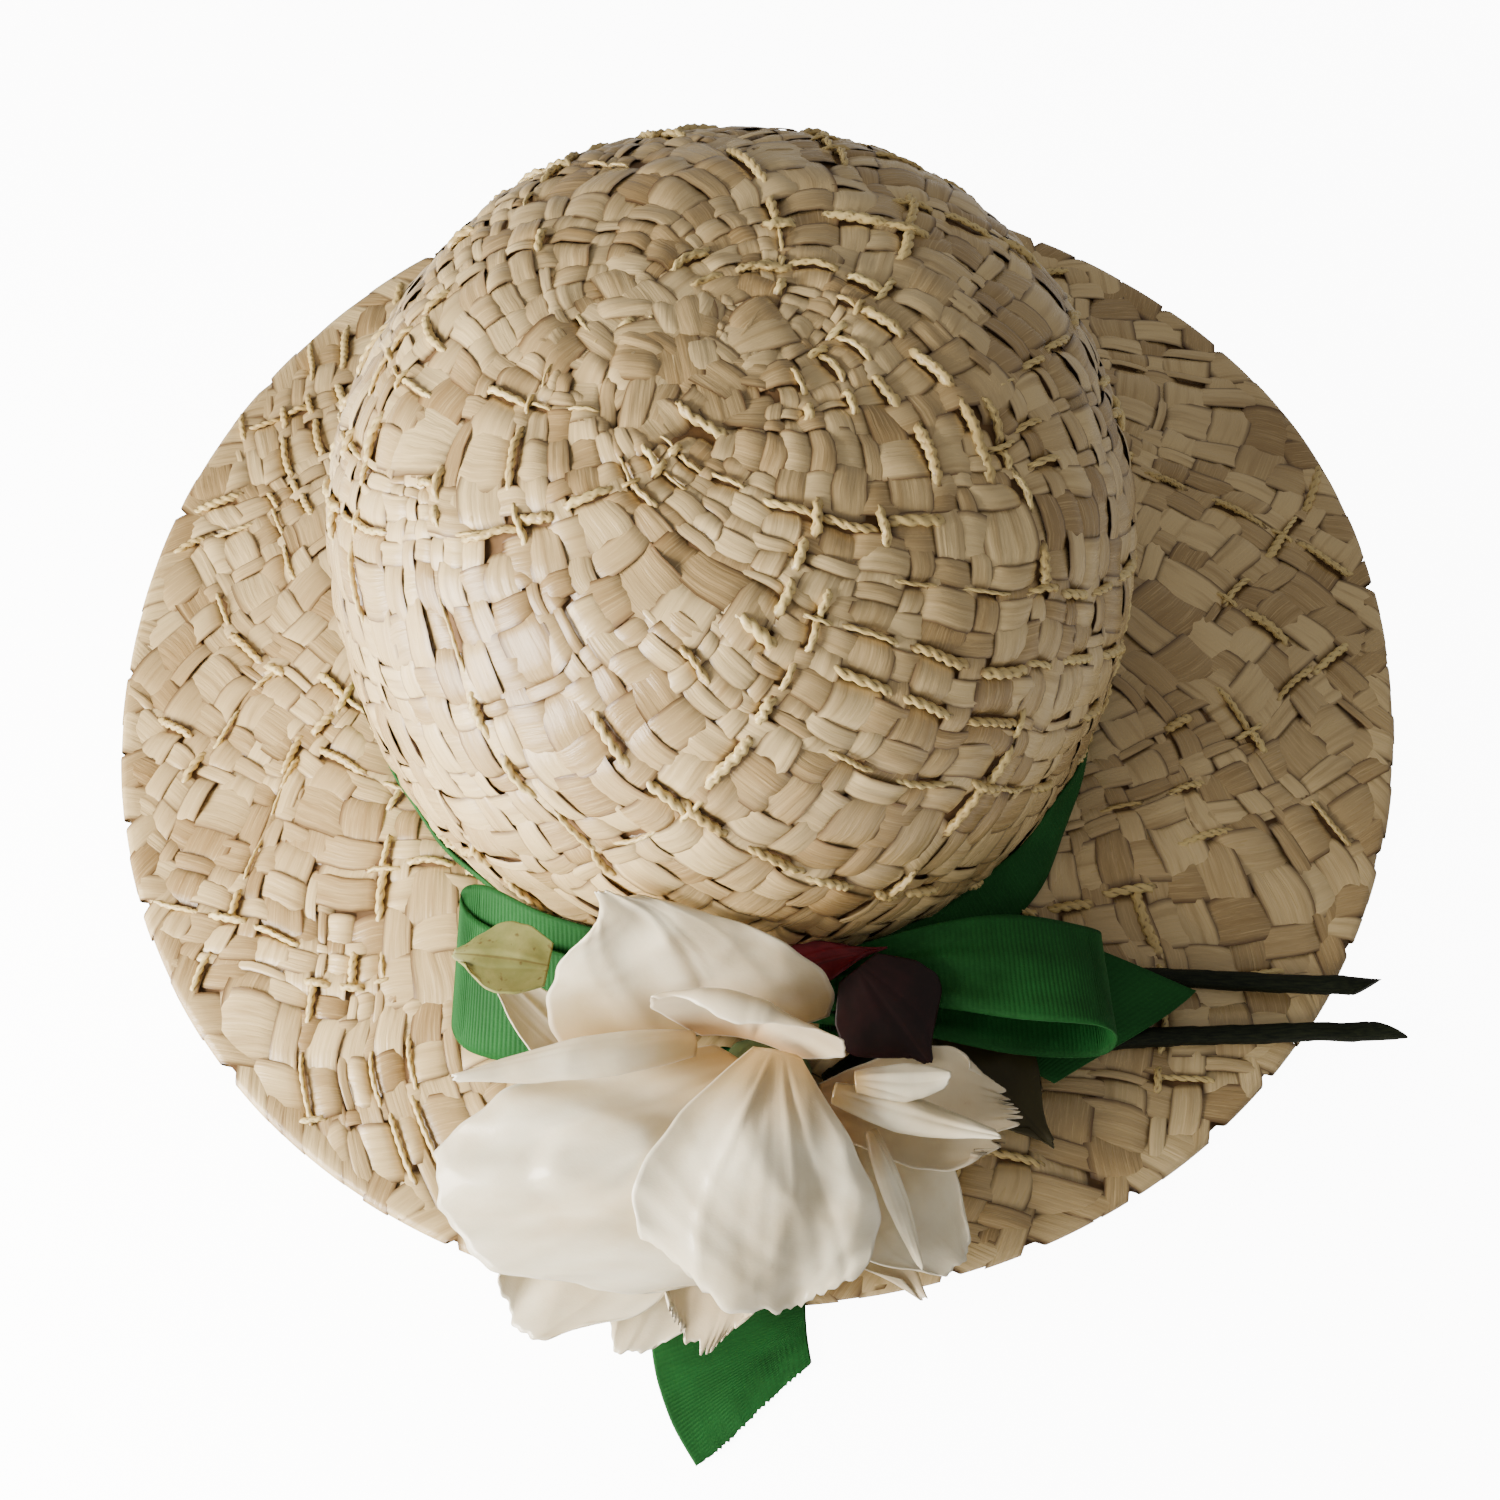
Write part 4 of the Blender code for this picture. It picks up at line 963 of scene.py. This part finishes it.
def band_surface(along, across):
    """The band stands narrow and gathered round the crown, and opens out over the brim at the right."""
    heading = 360.0 * along
    opened = ease(1.0 - turn_between(heading, -52.0) / 50.0) * 0.85
    width = BAND_WIDTH * (BAND_GATHER + (1.0 - BAND_GATHER) * opened)
    flare = width * opened
    rise = np.sqrt(width**2 - flare**2)
    clear = 0.0012 + 0.0014 * (1.0 - opened)
    turn = np.radians(heading)
    foot = brim_top(turn, (flare + WALL) / (BRIM_RADIUS - CROWN_FOOT))[..., 2] + clear
    share = 0.5 * across + 0.5
    height = foot + rise * share
    radius = crown_radius_at(np.maximum(height, CROWN_BASE)) + clear + flare * (1.0 - share)
    fold = 0.0004 * np.sin(share * 9.0 + turn * 2.0) + 0.0003 * np.sin(turn * 23.0)
    x = CROWN_MIDDLE[0] + (radius + fold) * np.cos(turn)
    y = CROWN_MIDDLE[1] + CROWN_LENGTHWAYS * (radius + fold) * np.sin(turn)
    return np.stack([x, y, height], -1)


def ribbon_piece(name, surface, flat, node, held, rests_on, **settings):
    """A length of ribbon over its surface, in place of the node's plain solid."""
    mesh = ribbed_mesh(name, surface, flat[1], flat[0], **settings)
    piece = show(mesh, name, (GREEN_RIBBON,), (node,))


def bow_part(name, rows, flat, node, held, cut, pinch, **settings):
    """One loop or tail of the bow, along its row of stations."""

    def surface(along, across):
        return ribbon_surface(rows, along, across, cut, pinch)

    ribbon_piece(name, surface, flat, node, held, "brim_straw", **settings)


def knot_surface(along, across):
    """The turn of ribbon over the middle of the bow, pulled in at its sides."""
    low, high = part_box("bow_knot")
    middle = [0.5 * (a + b) for a, b in zip(low, high)]
    half = [0.5 * (b - a) for a, b in zip(low, high)]
    turn = 2.0 * pi * along
    waist = 1.0 - 0.14 * (1.0 - np.abs(across)) + 0.06 * np.sin(across * 9.0) * np.sin(turn + 1.0)
    corner = 2.6  # 2 is a round section, more is squarer
    c, s = np.cos(turn), np.sin(turn)
    size = (np.abs(c) ** corner + np.abs(s) ** corner) ** (-1.0 / corner)
    x = middle[0] + half[0] * across * (0.94 + 0.05 * np.cos(turn * 2.0))
    y = middle[1] + half[1] * size * c * waist
    z = middle[2] + half[2] * size * s * waist
    return np.stack([x, y, z], -1)


ribbon_piece("band", band_surface, (0.0130, 0.640), "ribbon_band", "stretched", "crown_straw",
             closed=True, columns=8)
bow_part("loop_right", LOOP_RIGHT, (0.0270, 0.152), "bow_loop_right", "folded", cut=0.0, pinch=0.9)
bow_part("loop_left", LOOP_LEFT, (0.0270, 0.146), "bow_loop_left", "folded", cut=0.0, pinch=0.9)
bow_part("tail_right", TAIL_RIGHT, (0.0280, 0.082), "ribbon_tail_right", "laid", cut=0.22, pinch=0.8)
bow_part("tail_front", TAIL_FRONT, (0.0330, 0.082), "ribbon_tail_front", "laid", cut=0.25, pinch=0.5,
         fringe=0.016, columns=56)
ribbon_piece("knot", knot_surface, (0.0142, 0.052), "bow_knot", "folded", "brim_straw",
             closed=True, columns=24)


# Cloth rose
# Satin petals, cut out, dyed cream and shaped with a hot iron, their edges rolled under or left
# raw. Each is gummed by its root into the calyx, which wires the flower to the hat.

ROSE_SIZE = 0.1000
ROSE_SIDE, ROSE_OUT = 0.0020, 0.0291
ROSE = (HAT_X + ROSE_SIDE, CROWN_FRONT - ROSE_OUT)
ROSE_LEVEL = float(straw_level(np.array([ROSE[0] - HAT_X]), np.array([ROSE[1] - HAT_Y]))[0])
# A petal's root in shares of the rose's size, its heading and slopes in degrees, the shape it is cut
# to, and how it is curled: cupped, rolled at its left and right edges and bent at its end.
Place = namedtuple("Place", "side out rise heading root_slope tip_slope bank")
Outline = namedtuple("Outline", "length width root tip widest lean")
Curl = namedtuple("Curl", "cup left right end ruffle")
PETALS = {
    "petal_back": (
        Place(-0.155, -0.100, 0.240, 96, 62, 74, 0),
        Outline(0.48, 0.66, 0.96, 0.16, 0.10, 0.26),
        Curl(0, -10, -24, 6, 0.004),
    ),
    "petal_left": (
        Place(-0.430, -0.060, 0.190, 140, 32, 36, 0),
        Outline(0.34, 0.15, 0.90, 0.12, 0.10, 0.10),
        Curl(12, 8, 8, 0, 0.003),
    ),
    "petal_left_fold": (
        Place(-0.150, -0.030, 0.400, 191, 18, -16, 4),
        Outline(0.55, 0.20, 0.60, 0.25, 0.35, 0),
        Curl(-60, -34, -34, 0, 0.004),
    ),
    "petal_heart": (
        Place(-0.030, -0.055, 0.330, -104, 98, 80, 0),
        Outline(0.28, 0.45, 0.50, 0.90, 0.60, 0),
        Curl(-10, 0, 0, -120, 0.004),
    ),
    "petal_front_left": (
        Place(-0.010, 0.020, 0.305, -126, 15, -42, -10),
        Outline(0.68, 0.72, 0.36, 0.84, 0.62, -0.38),
        Curl(-12, -30, -8, 8, 0.006),
    ),
    "petal_front_right": (
        Place(0.030, 0.005, 0.420, -98, 4, -54, -8),
        Outline(0.59, 0.56, 0.20, 0.82, 0.72, 0.06),
        Curl(-12, -10, 24, 8, 0.010),
    ),
    "petal_right_fold": (
        Place(0.155, 0.055, 0.310, -16, 6, -4, 0),
        Outline(0.38, 0.17, 0.55, 0.30, 0.40, 0),
        Curl(-58, -30, -30, 0, 0.004),
    ),
    "petal_right_curl": (
        Place(0.200, 0.050, 0.365, 2, 12, -10, 0),
        Outline(0.21, 0.15, 0.55, 0.60, 0.55, 0),
        Curl(-50, -20, -20, 0, 0.003),
    ),
    "petal_right_back": (
        Place(0.125, 0.040, 0.150, -4, 4, 4, 0),
        Outline(0.46, 0.32, 0.35, 0.70, 0.70, 0),
        Curl(16, 14, 14, 0, 0.008),
    ),
    "petal_right_low": (
        Place(0.120, 0.080, 0.105, -42, 0, -12, 0),
        Outline(0.45, 0.30, 0.30, 0.55, 0.66, 0),
        Curl(10, 8, 8, 0, 0.006),
    ),
    "petal_right_ridge": (
        Place(0.240, 0.130, 0.260, -68, -8, -36, 0),
        Outline(0.32, 0.11, 0.50, 0.30, 0.40, 0),
        Curl(-60, -20, -20, 0, 0.003),
    ),
    "petal_front_tip": (
        Place(0.058, 0.076, 0.070, -50, 0, -10, 0),
        Outline(0.49, 0.20, 0.30, 0.16, 0.60, 0),
        Curl(12, 8, 8, 0, 0.006),
    ),
    "petal_low_left": (
        Place(-0.140, 0.060, 0.080, -132, 0, -5, 0),
        Outline(0.62, 0.42, 0.24, 0.56, 0.66, 0),
        Curl(8, 6, 6, 0, 0.006),
    ),
    "petal_low_centre": (
        Place(-0.020, 0.130, 0.137, -106, 0, -12, 0),
        Outline(0.47, 0.26, 0.30, 0.60, 0.66, 0),
        Curl(6, 6, 6, 0, 0.004),
    ),
    "petal_low_front": (
        Place(-0.055, 0.072, 0.050, -117, 0, -8, 0),
        Outline(0.56, 0.32, 0.30, 0.50, 0.66, 0),
        Curl(6, 6, 6, 0, 0.005),
    ),
}


def fanned_creases(along, across, chance):
    """Creases that fan out from a petal's root."""
    fan = np.zeros_like(along)
    for _ in range(7):
        where, spread = chance.uniform(-0.95, 0.95), chance.uniform(0.05, 0.16)
        size, bend = chance.uniform(-1, 1), chance.uniform(-0.3, 0.3)
        line = np.abs(across - where * (0.35 + 0.65 * along) - bend * along * (1.0 - along))
        fan += size * np.exp(-((line / spread) ** 1.4)) * ease(along * 5.0) * (1.0 - 0.6 * along)
    return fan


def crumple(x, y, chance):
    """The soft hollows and few sharp folds of worn cloth, at places in metres across it."""
    height = np.zeros_like(x)
    for size in (0.060, 0.047, 0.038, 0.030, 0.023):
        way, phase = chance.uniform(0.0, pi), chance.uniform(0.0, 2.0 * pi)
        bent = 1.5 * np.sin(x * 55.0 + phase) + 1.2 * np.sin(y * 70.0 + 2.0 * phase)
        wave = np.sin((x * cos(way) + y * sin(way)) * 2.0 * pi / size + phase + bent)
        height += size * (0.7 * wave + 0.3 * (1.0 - 2.0 * np.abs(wave))) * 0.0085
    return height


def bent_petal(rows, along, across, seed, crease, torn=0.0, bulge=None):
    """Points of a petal, along it from root to tip and across it from -1 to 1, with its creases."""
    place, outline, curl = rows
    heading, bank = radians(place.heading), radians(place.bank)
    outward = np.array([cos(heading), sin(heading), 0.0])
    aside_way = np.cross(UPWARD, outward)
    edge = 0.016 * np.sin(across * 4.3 + seed) + 0.009 * np.sin(across * 9.7 + 2.0 * seed)
    edge = edge + 0.004 * np.sin(across * 26.0)
    if torn:
        edge = edge + torn * np.abs(np.sin(across * 17.0 + 3.0 * np.sin(across * 5.0 + seed))) ** 3
    reached = along * (1.0 - 0.16 * across * across * along - edge * along**8)
    steps = 24
    point = np.zeros(along.shape + (3,)) + np.array([ROSE[0], ROSE[1], ROSE_LEVEL])
    point = point + ROSE_SIZE * np.array([place.side, -place.out, place.rise])
    step = reached / steps
    slope = 0.0
    for index in range(steps):
        at = (index + 0.5) * step
        slope = np.radians(place.root_slope + (place.tip_slope - place.root_slope) * at)
        slope = slope + radians(curl.end) * ease((at - 0.72) / 0.28)
        way = np.cos(slope)[..., None] * outward + np.sin(slope)[..., None] * UPWARD
        point = point + ROSE_SIZE * outline.length * step[..., None] * way
    normal = np.cos(slope)[..., None] * UPWARD - np.sin(slope)[..., None] * outward
    sideways = cos(bank) * aside_way + sin(bank) * normal
    normal = cos(bank) * normal - sin(bank) * aside_way
    grown = np.minimum(along / outline.widest, 1.0)
    root_part = outline.root + (1.0 - outline.root) * np.sin(0.5 * pi * grown)
    past = np.clip((along - outline.widest) / (1.0 - outline.widest), 0.0, 1.0)
    tip_part = outline.tip + (1.0 - outline.tip) * np.cos(0.5 * pi * past)
    half = 0.5 * ROSE_SIZE * outline.width * np.where(along < outline.widest, root_part, tip_part)
    half = half * (1.0 + 0.012 * np.sin(along * 17.0 + seed) + 0.008 * np.sin(along * 31.0 + seed * 3.0))
    bend_side = np.zeros_like(across)
    bend_up = np.zeros_like(across)
    roll = np.where(across >= 0.0, curl.left, curl.right)
    small = np.abs(across) / steps
    for index in range(steps):
        at = (index + 0.5) * small
        angle = radians(curl.cup) * at * 2.0 + np.radians(roll) * ease((at - 0.62) / 0.38)
        bend_side += np.sign(across) * small * np.cos(angle)
        bend_up += small * np.sin(angle)
    lean = ROSE_SIZE * outline.width * outline.lean * reached * reached
    fold = ROSE_SIZE * curl.ruffle * np.sin(5.0 * across + place.heading) * along * along
    # The iron leaves shallow hollows between the creases.
    swell = np.sin(across * 3.1 + seed) * np.sin(along * 6.0 + 2.0 * seed)
    swell = swell + 0.5 * np.sin(across * 6.3 - seed) * np.sin(along * 9.0 + seed)
    chance = np.random.default_rng(seed)
    fan = fanned_creases(along, across, chance)
    x, y = along * outline.length * ROSE_SIZE, across * 0.5 * outline.width * ROSE_SIZE
    worn = crumple(x, y, chance) * ease(along * 3.0)
    relief = crease * (0.00055 * fan + 0.00040 * swell * along + worn)
    if bulge:
        reach = np.hypot((along - bulge.along) / bulge.long, (across - bulge.across) / bulge.wide)
        relief = relief + bulge.height * (1.0 - ease((reach - 0.55) / 0.45))
    aside_by = (half * bend_side + lean)[..., None]
    raised_by = (half * bend_up + fold + relief)[..., None]
    return point + sideways * aside_by + normal * raised_by


def petal_material(name, light, shade, root, spots=0.0):
    """Cream satin gone a little yellow: warm brown towards the root, with a painted highlight along its
    edges.
    """
    paint = Paint(name)
    towards_root, painted_edge_highlight, _ = paint.painted_looks()
    places = paint.flat_places("cloth")
    blotch = paint.noise(places, 38.0, 5.0, 0.55)
    threads = paint.noise(places, (2400.0, 900.0), 2.0)
    colour = paint.mix(light, shade, paint.spread(blotch, 0.36, 0.68, 0.9))
    colour = paint.mix(colour, root, paint.spread(towards_root, 0.30, 1.0, 0.9))
    # A painted highlight: paler along the edges.
    colour = paint.mix(colour, (0.86, 0.81, 0.68), paint.spread(painted_edge_highlight, 0.5, 1.0, 0.35))
    if spots:
        speck = paint.noise(places, 170.0, 3.0)
        colour = paint.mix(colour, (0.50, 0.36, 0.20), paint.spread(speck, 0.66, 0.74, spots))
    paint.colour(colour)
    paint.give({"Roughness": 0.30, "Coat Weight": 0.35, "Coat Roughness": 0.16, "Sheen Weight": 0.2})
    paint.give({"Subsurface Weight": 0.05, "Subsurface Radius": (0.004, 0.0025, 0.0015)})
    paint.bumps((threads, 0.25, 0.00015), (blotch, 0.25, 0.001))
    return paint.material


PETAL_CLOTH = petal_material("cream_satin", light=(0.93, 0.86, 0.66), shade=(0.66, 0.54, 0.32),
                             root=(0.40, 0.25, 0.08))
PETAL_SPOTTED = petal_material("spotted_satin", light=(0.74, 0.64, 0.44), shade=(0.58, 0.45, 0.26),
                               root=(0.46, 0.26, 0.10), spots=0.7)
SPOTTED = ("petal_low_centre", "petal_front_tip", "petal_right_back", "petal_heart")
Bulge = namedtuple("Bulge", "along across long wide height")
BULGES = {"petal_front_left": Bulge(0.52, -0.28, 0.22, 0.30, 0.0020)}
CREASED = {"petal_front_left": 2.6, "petal_front_right": 2.2, "petal_back": 1.7, "petal_heart": 1.4}
TORN = {"petal_right_back": 0.10, "petal_low_centre": 0.05, "petal_front_right": 0.02}


def flower_piece(name, rows, material, thickness, size, crease, torn=0.0, bulge=None):
    """One petal or leaf, cut, shaped and set in its place."""
    seed = sum(ord(letter) for letter in name) % 97
    along, across = grid(size, size, first=0.0)
    points = bent_petal(rows, along, across, seed, crease, torn, bulge)
    length, width = ROSE_SIZE * rows[1].length, ROSE_SIZE * rows[1].width
    uv = np.stack([along * length, across * 0.5 * width], -1) + 0.37 * seed
    root = ease(1.0 - along / 0.55)
    # A painted highlight along the petal's edges.
    painted_edge_highlight = np.maximum(ease((np.abs(across) - 0.90) / 0.10), ease((along - 0.94) / 0.06))
    looks = np.stack([root, painted_edge_highlight, np.abs(across)], -1)
    mesh = cloth_mesh(name, points, thickness, uv, looks=looks)
    piece = show(mesh, name + "_cloth", (material,), (name,))


for petal, rows in PETALS.items():
    cloth = PETAL_SPOTTED if petal in SPOTTED else PETAL_CLOTH
    flower_piece(petal, rows, cloth, thickness=0.0004, size=56, crease=CREASED.get(petal, 1.0),
                 torn=TORN.get(petal, 0.0), bulge=BULGES.get(petal))


# Leaves
# Four small leaves of stiffened satin, two to four centimetres long: dark red and maroon behind
# the rose, olive by the right loop, and a pale one at the left. Each is stamped with a midrib.

LEAF_MOTTLE = 0.6
LEAVES = {
    "leaf_red": (
        Place(-0.04, -0.225, 0.25, 12, 14, 4, 0),
        Outline(0.33, 0.12, 0.30, 0.05, 0.45, 0),
        Curl(14, 0, 0, 0, 0.002),
    ),
    "leaf_dark": (
        Place(0.215, -0.240, 0.310, -50, -14, -26, 10),
        Outline(0.27, 0.28, 0.40, 0.20, 0.50, 0),
        Curl(-10, 0, 0, 0, 0.003),
    ),
    "leaf_olive": (
        Place(0.380, -0.220, 0.125, -50, -6, -12, 0),
        Outline(0.44, 0.28, 0.30, 0.10, 0.45, 0.10),
        Curl(2, 0, 0, 0, 0.003),
    ),
    "leaf_pale": (
        Place(-0.485, -0.200, 0.400, 172, 4, -8, 0),
        Outline(0.22, 0.18, 0.60, 0.30, 0.45, 0),
        Curl(10, 0, 0, 0, 0.003),
    ),
}


def leaf_material(name, main, other, vein, mottle=60.0, spots=0.0):
    """Dyed satin stamped with veins, with the dye uneven and the midrib in a shade of its own."""
    paint = Paint(name)
    places = paint.flat_places("cloth")
    _, _, aside = paint.painted_looks()
    blotch = paint.noise(places, mottle, 5.0, 0.65)
    specks = paint.noise(places, 420.0, 2.0)
    veins = paint.add("ShaderNodeTexWave", wave_type="BANDS", bands_direction="DIAGONAL",
                      Scale=42.0, Distortion=3.0, Detail=2.0)
    paint.link(places, veins.inputs["Vector"])
    colour = paint.mix(main, other, paint.spread(blotch, 0.42, 0.66, LEAF_MOTTLE))
    colour = paint.mix(colour, vein, paint.spread(aside, 0.05, 0.0))
    colour = paint.mix(colour, vein, paint.spread(specks, 0.62, 0.70, spots))
    paint.colour(colour)
    paint.give({"Roughness": 0.42, "Specular IOR Level": 0.25})
    paint.bumps((veins.outputs["Fac"], 0.35, 0.0006), (blotch, 0.3, 0.0004))
    return paint.material


LEAF_COLOURS = {
    "leaf_red": ((0.085, 0.006, 0.010), (0.24, 0.020, 0.030), (0.04, 0.004, 0.006)),
    "leaf_dark": ((0.016, 0.007, 0.007), (0.045, 0.010, 0.012), (0.03, 0.012, 0.012)),
    "leaf_olive": ((0.038, 0.030, 0.009), (0.055, 0.048, 0.014), (0.028, 0.022, 0.008)),
    "leaf_pale": ((0.20, 0.21, 0.070), (0.33, 0.32, 0.12), (0.12, 0.075, 0.03)),
}
for leaf, rows in LEAVES.items():
    marks = {"mottle": 140.0, "spots": 0.8} if leaf == "leaf_pale" else {}
    cloth = leaf_material("satin_" + leaf, *LEAF_COLOURS[leaf], **marks)
    flower_piece(leaf, rows, cloth, thickness=0.0006, size=44, crease=0.7)


# Calyx and stems
# The calyx is a pad bound in green cloth under the petals. Two wires wrapped in dark tape run
# out of it across the brim and past its edge, cut on the slant.

STEM_RADIUS = 0.0025
StemPoint = namedtuple("StemPoint", "side out rise")
STEM_UPPER = (
    StemPoint(0.15, -0.05, 2.6),
    StemPoint(0.34, -0.18, 1.4),
    StemPoint(0.62, -0.29, 1.2),
    StemPoint(0.92, -0.345, 1.4),
    StemPoint(1.49, -0.34, 2.6),
)
STEM_LOWER = (
    StemPoint(0.16, 0.00, 2.6),
    StemPoint(0.40, -0.08, 1.3),
    StemPoint(0.66, -0.15, 1.2),
    StemPoint(0.96, -0.20, 1.4),
    StemPoint(1.53, -0.23, 2.6),
)
TAPE_PITCH = 0.0062
CALYX_RADIUS = 0.0117


def tape_material():
    """Crepe tape, dark green, waxed and a little shiny on its ridges."""
    paint = Paint("stem_tape")
    crepe = paint.noise(paint.flat_places("cloth"), (500.0, 1800.0), 3.0)
    paint.colour(paint.shades(crepe, (0.004, 0.006, 0.003), (0.016, 0.020, 0.008), 0.35, 0.75))
    paint.give({"Roughness": 0.55, "Specular IOR Level": 0.15})
    paint.bumps((crepe, 0.5, 0.0003))
    return paint.material


STEM_TAPE = tape_material()


def wrapped_stem(name, rows, cut):
    """A wire along its row of points, with laps of tape round it and its end cut on the slant."""
    count, ring = 150, 20
    share = np.linspace(0.0, 1.0, count)
    side, out, rise = along_rows(rows, share).T
    x = ROSE[0] + ROSE_SIZE * side
    y = ROSE[1] - ROSE_SIZE * out
    z = straw_level(x - HAT_X, y - HAT_Y) + STEM_RADIUS * rise
    middle = np.stack([x, y, z], -1)
    way = np.gradient(middle, axis=0)
    way /= np.linalg.norm(way, axis=1, keepdims=True)
    level = np.cross(UPWARD, way)
    level /= np.linalg.norm(level, axis=1, keepdims=True)
    above = np.cross(way, level)
    length = float(np.linalg.norm(np.diff(middle, axis=0), axis=1).sum())
    turn = np.linspace(0.0, 2.0 * pi, ring, endpoint=False)
    share, turn = np.meshgrid(share, turn, indexing="ij")
    laps = (share * length / TAPE_PITCH + turn / (2.0 * pi)) % 1.0
    radius = STEM_RADIUS * (0.90 + 0.09 * laps + 0.02 * np.sin(share * 60.0 + 2.0 * turn))
    slant = cut * STEM_RADIUS * np.cos(turn) * ease((share - 0.96) / 0.04)
    points = middle[:, None] + level[:, None] * (radius * np.cos(turn))[..., None]
    points = points + above[:, None] * (radius * np.sin(turn))[..., None] + way[:, None] * slant[..., None]
    number = np.arange(count * ring).reshape(count, ring)
    number = np.concatenate([number, number[:, :1]], 1)
    a, b, c, d = number[:-1, :-1], number[1:, :-1], number[1:, 1:], number[:-1, 1:]
    faces = np.stack([a, d, c, b], -1).reshape(-1, 4).tolist()
    faces.append(number[0, :-1].tolist())
    faces.append(number[-1, :-1][::-1].tolist())
    mesh = bpy.data.meshes.new(name)
    mesh.from_pydata(points.reshape(-1, 3).tolist(), [], faces)
    uv = np.stack([share * length, turn * STEM_RADIUS], -1).reshape(-1, 2)
    layer = mesh.uv_layers.new(name="cloth")
    corners = np.array([loop.vertex_index for loop in mesh.loops])
    layer.data.foreach_set("uv", uv[corners].astype(np.float32).ravel())
    mesh.polygons.foreach_set("use_smooth", np.array([True] * (len(faces) - 2) + [False] * 2))
    mesh.validate()
    show(mesh, name + "_taped", (STEM_TAPE,), (name,))


wrapped_stem("stem_upper", STEM_UPPER, 1.6)
wrapped_stem("stem_lower", STEM_LOWER, -1.6)


def bound_calyx():
    """The pad, with the cloth drawn into folds round it."""
    low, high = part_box("rose_calyx")
    middle = [0.5 * (a + b) for a, b in zip(low, high)]
    rows, ring = 30, 64
    share = np.linspace(0.0, 1.0, rows)[:, None]
    turn = np.linspace(0.0, 2.0 * pi, ring, endpoint=False)[None, :]
    profile = np.interp(share, [0.0, 0.06, 0.25, 0.45, 0.80, 1.0], [0.02, 0.60, 0.92, 1.0, 0.78, 0.05])
    folds = 0.035 * np.cos(11.0 * turn + 3.0 * share) * np.sin(pi * share)
    radius = CALYX_RADIUS * profile * (1.0 + folds)
    x = middle[0] + radius * np.cos(turn)
    y = middle[1] + radius * np.sin(turn)
    z = high[2] - (high[2] - low[2]) * share + 0.0 * turn
    points = np.stack([x, y, z], -1)
    # One closed patch of plain cloth, made like a patch of straw.
    weave = Weave(None, None, 1.0)
    blank = np.zeros(points.shape)
    weave.add_grid(points, blank[..., :2], blank, STRIP, closed=True)
    green = plain_material("calyx_cloth", (0.05, 0.075, 0.02), (0.13, 0.17, 0.06), 420.0, 0.75, 0.5)
    show(weave.mesh("calyx", (STRIP,)), "rose_calyx_cloth", (green,), ("rose_calyx",))


bound_calyx()
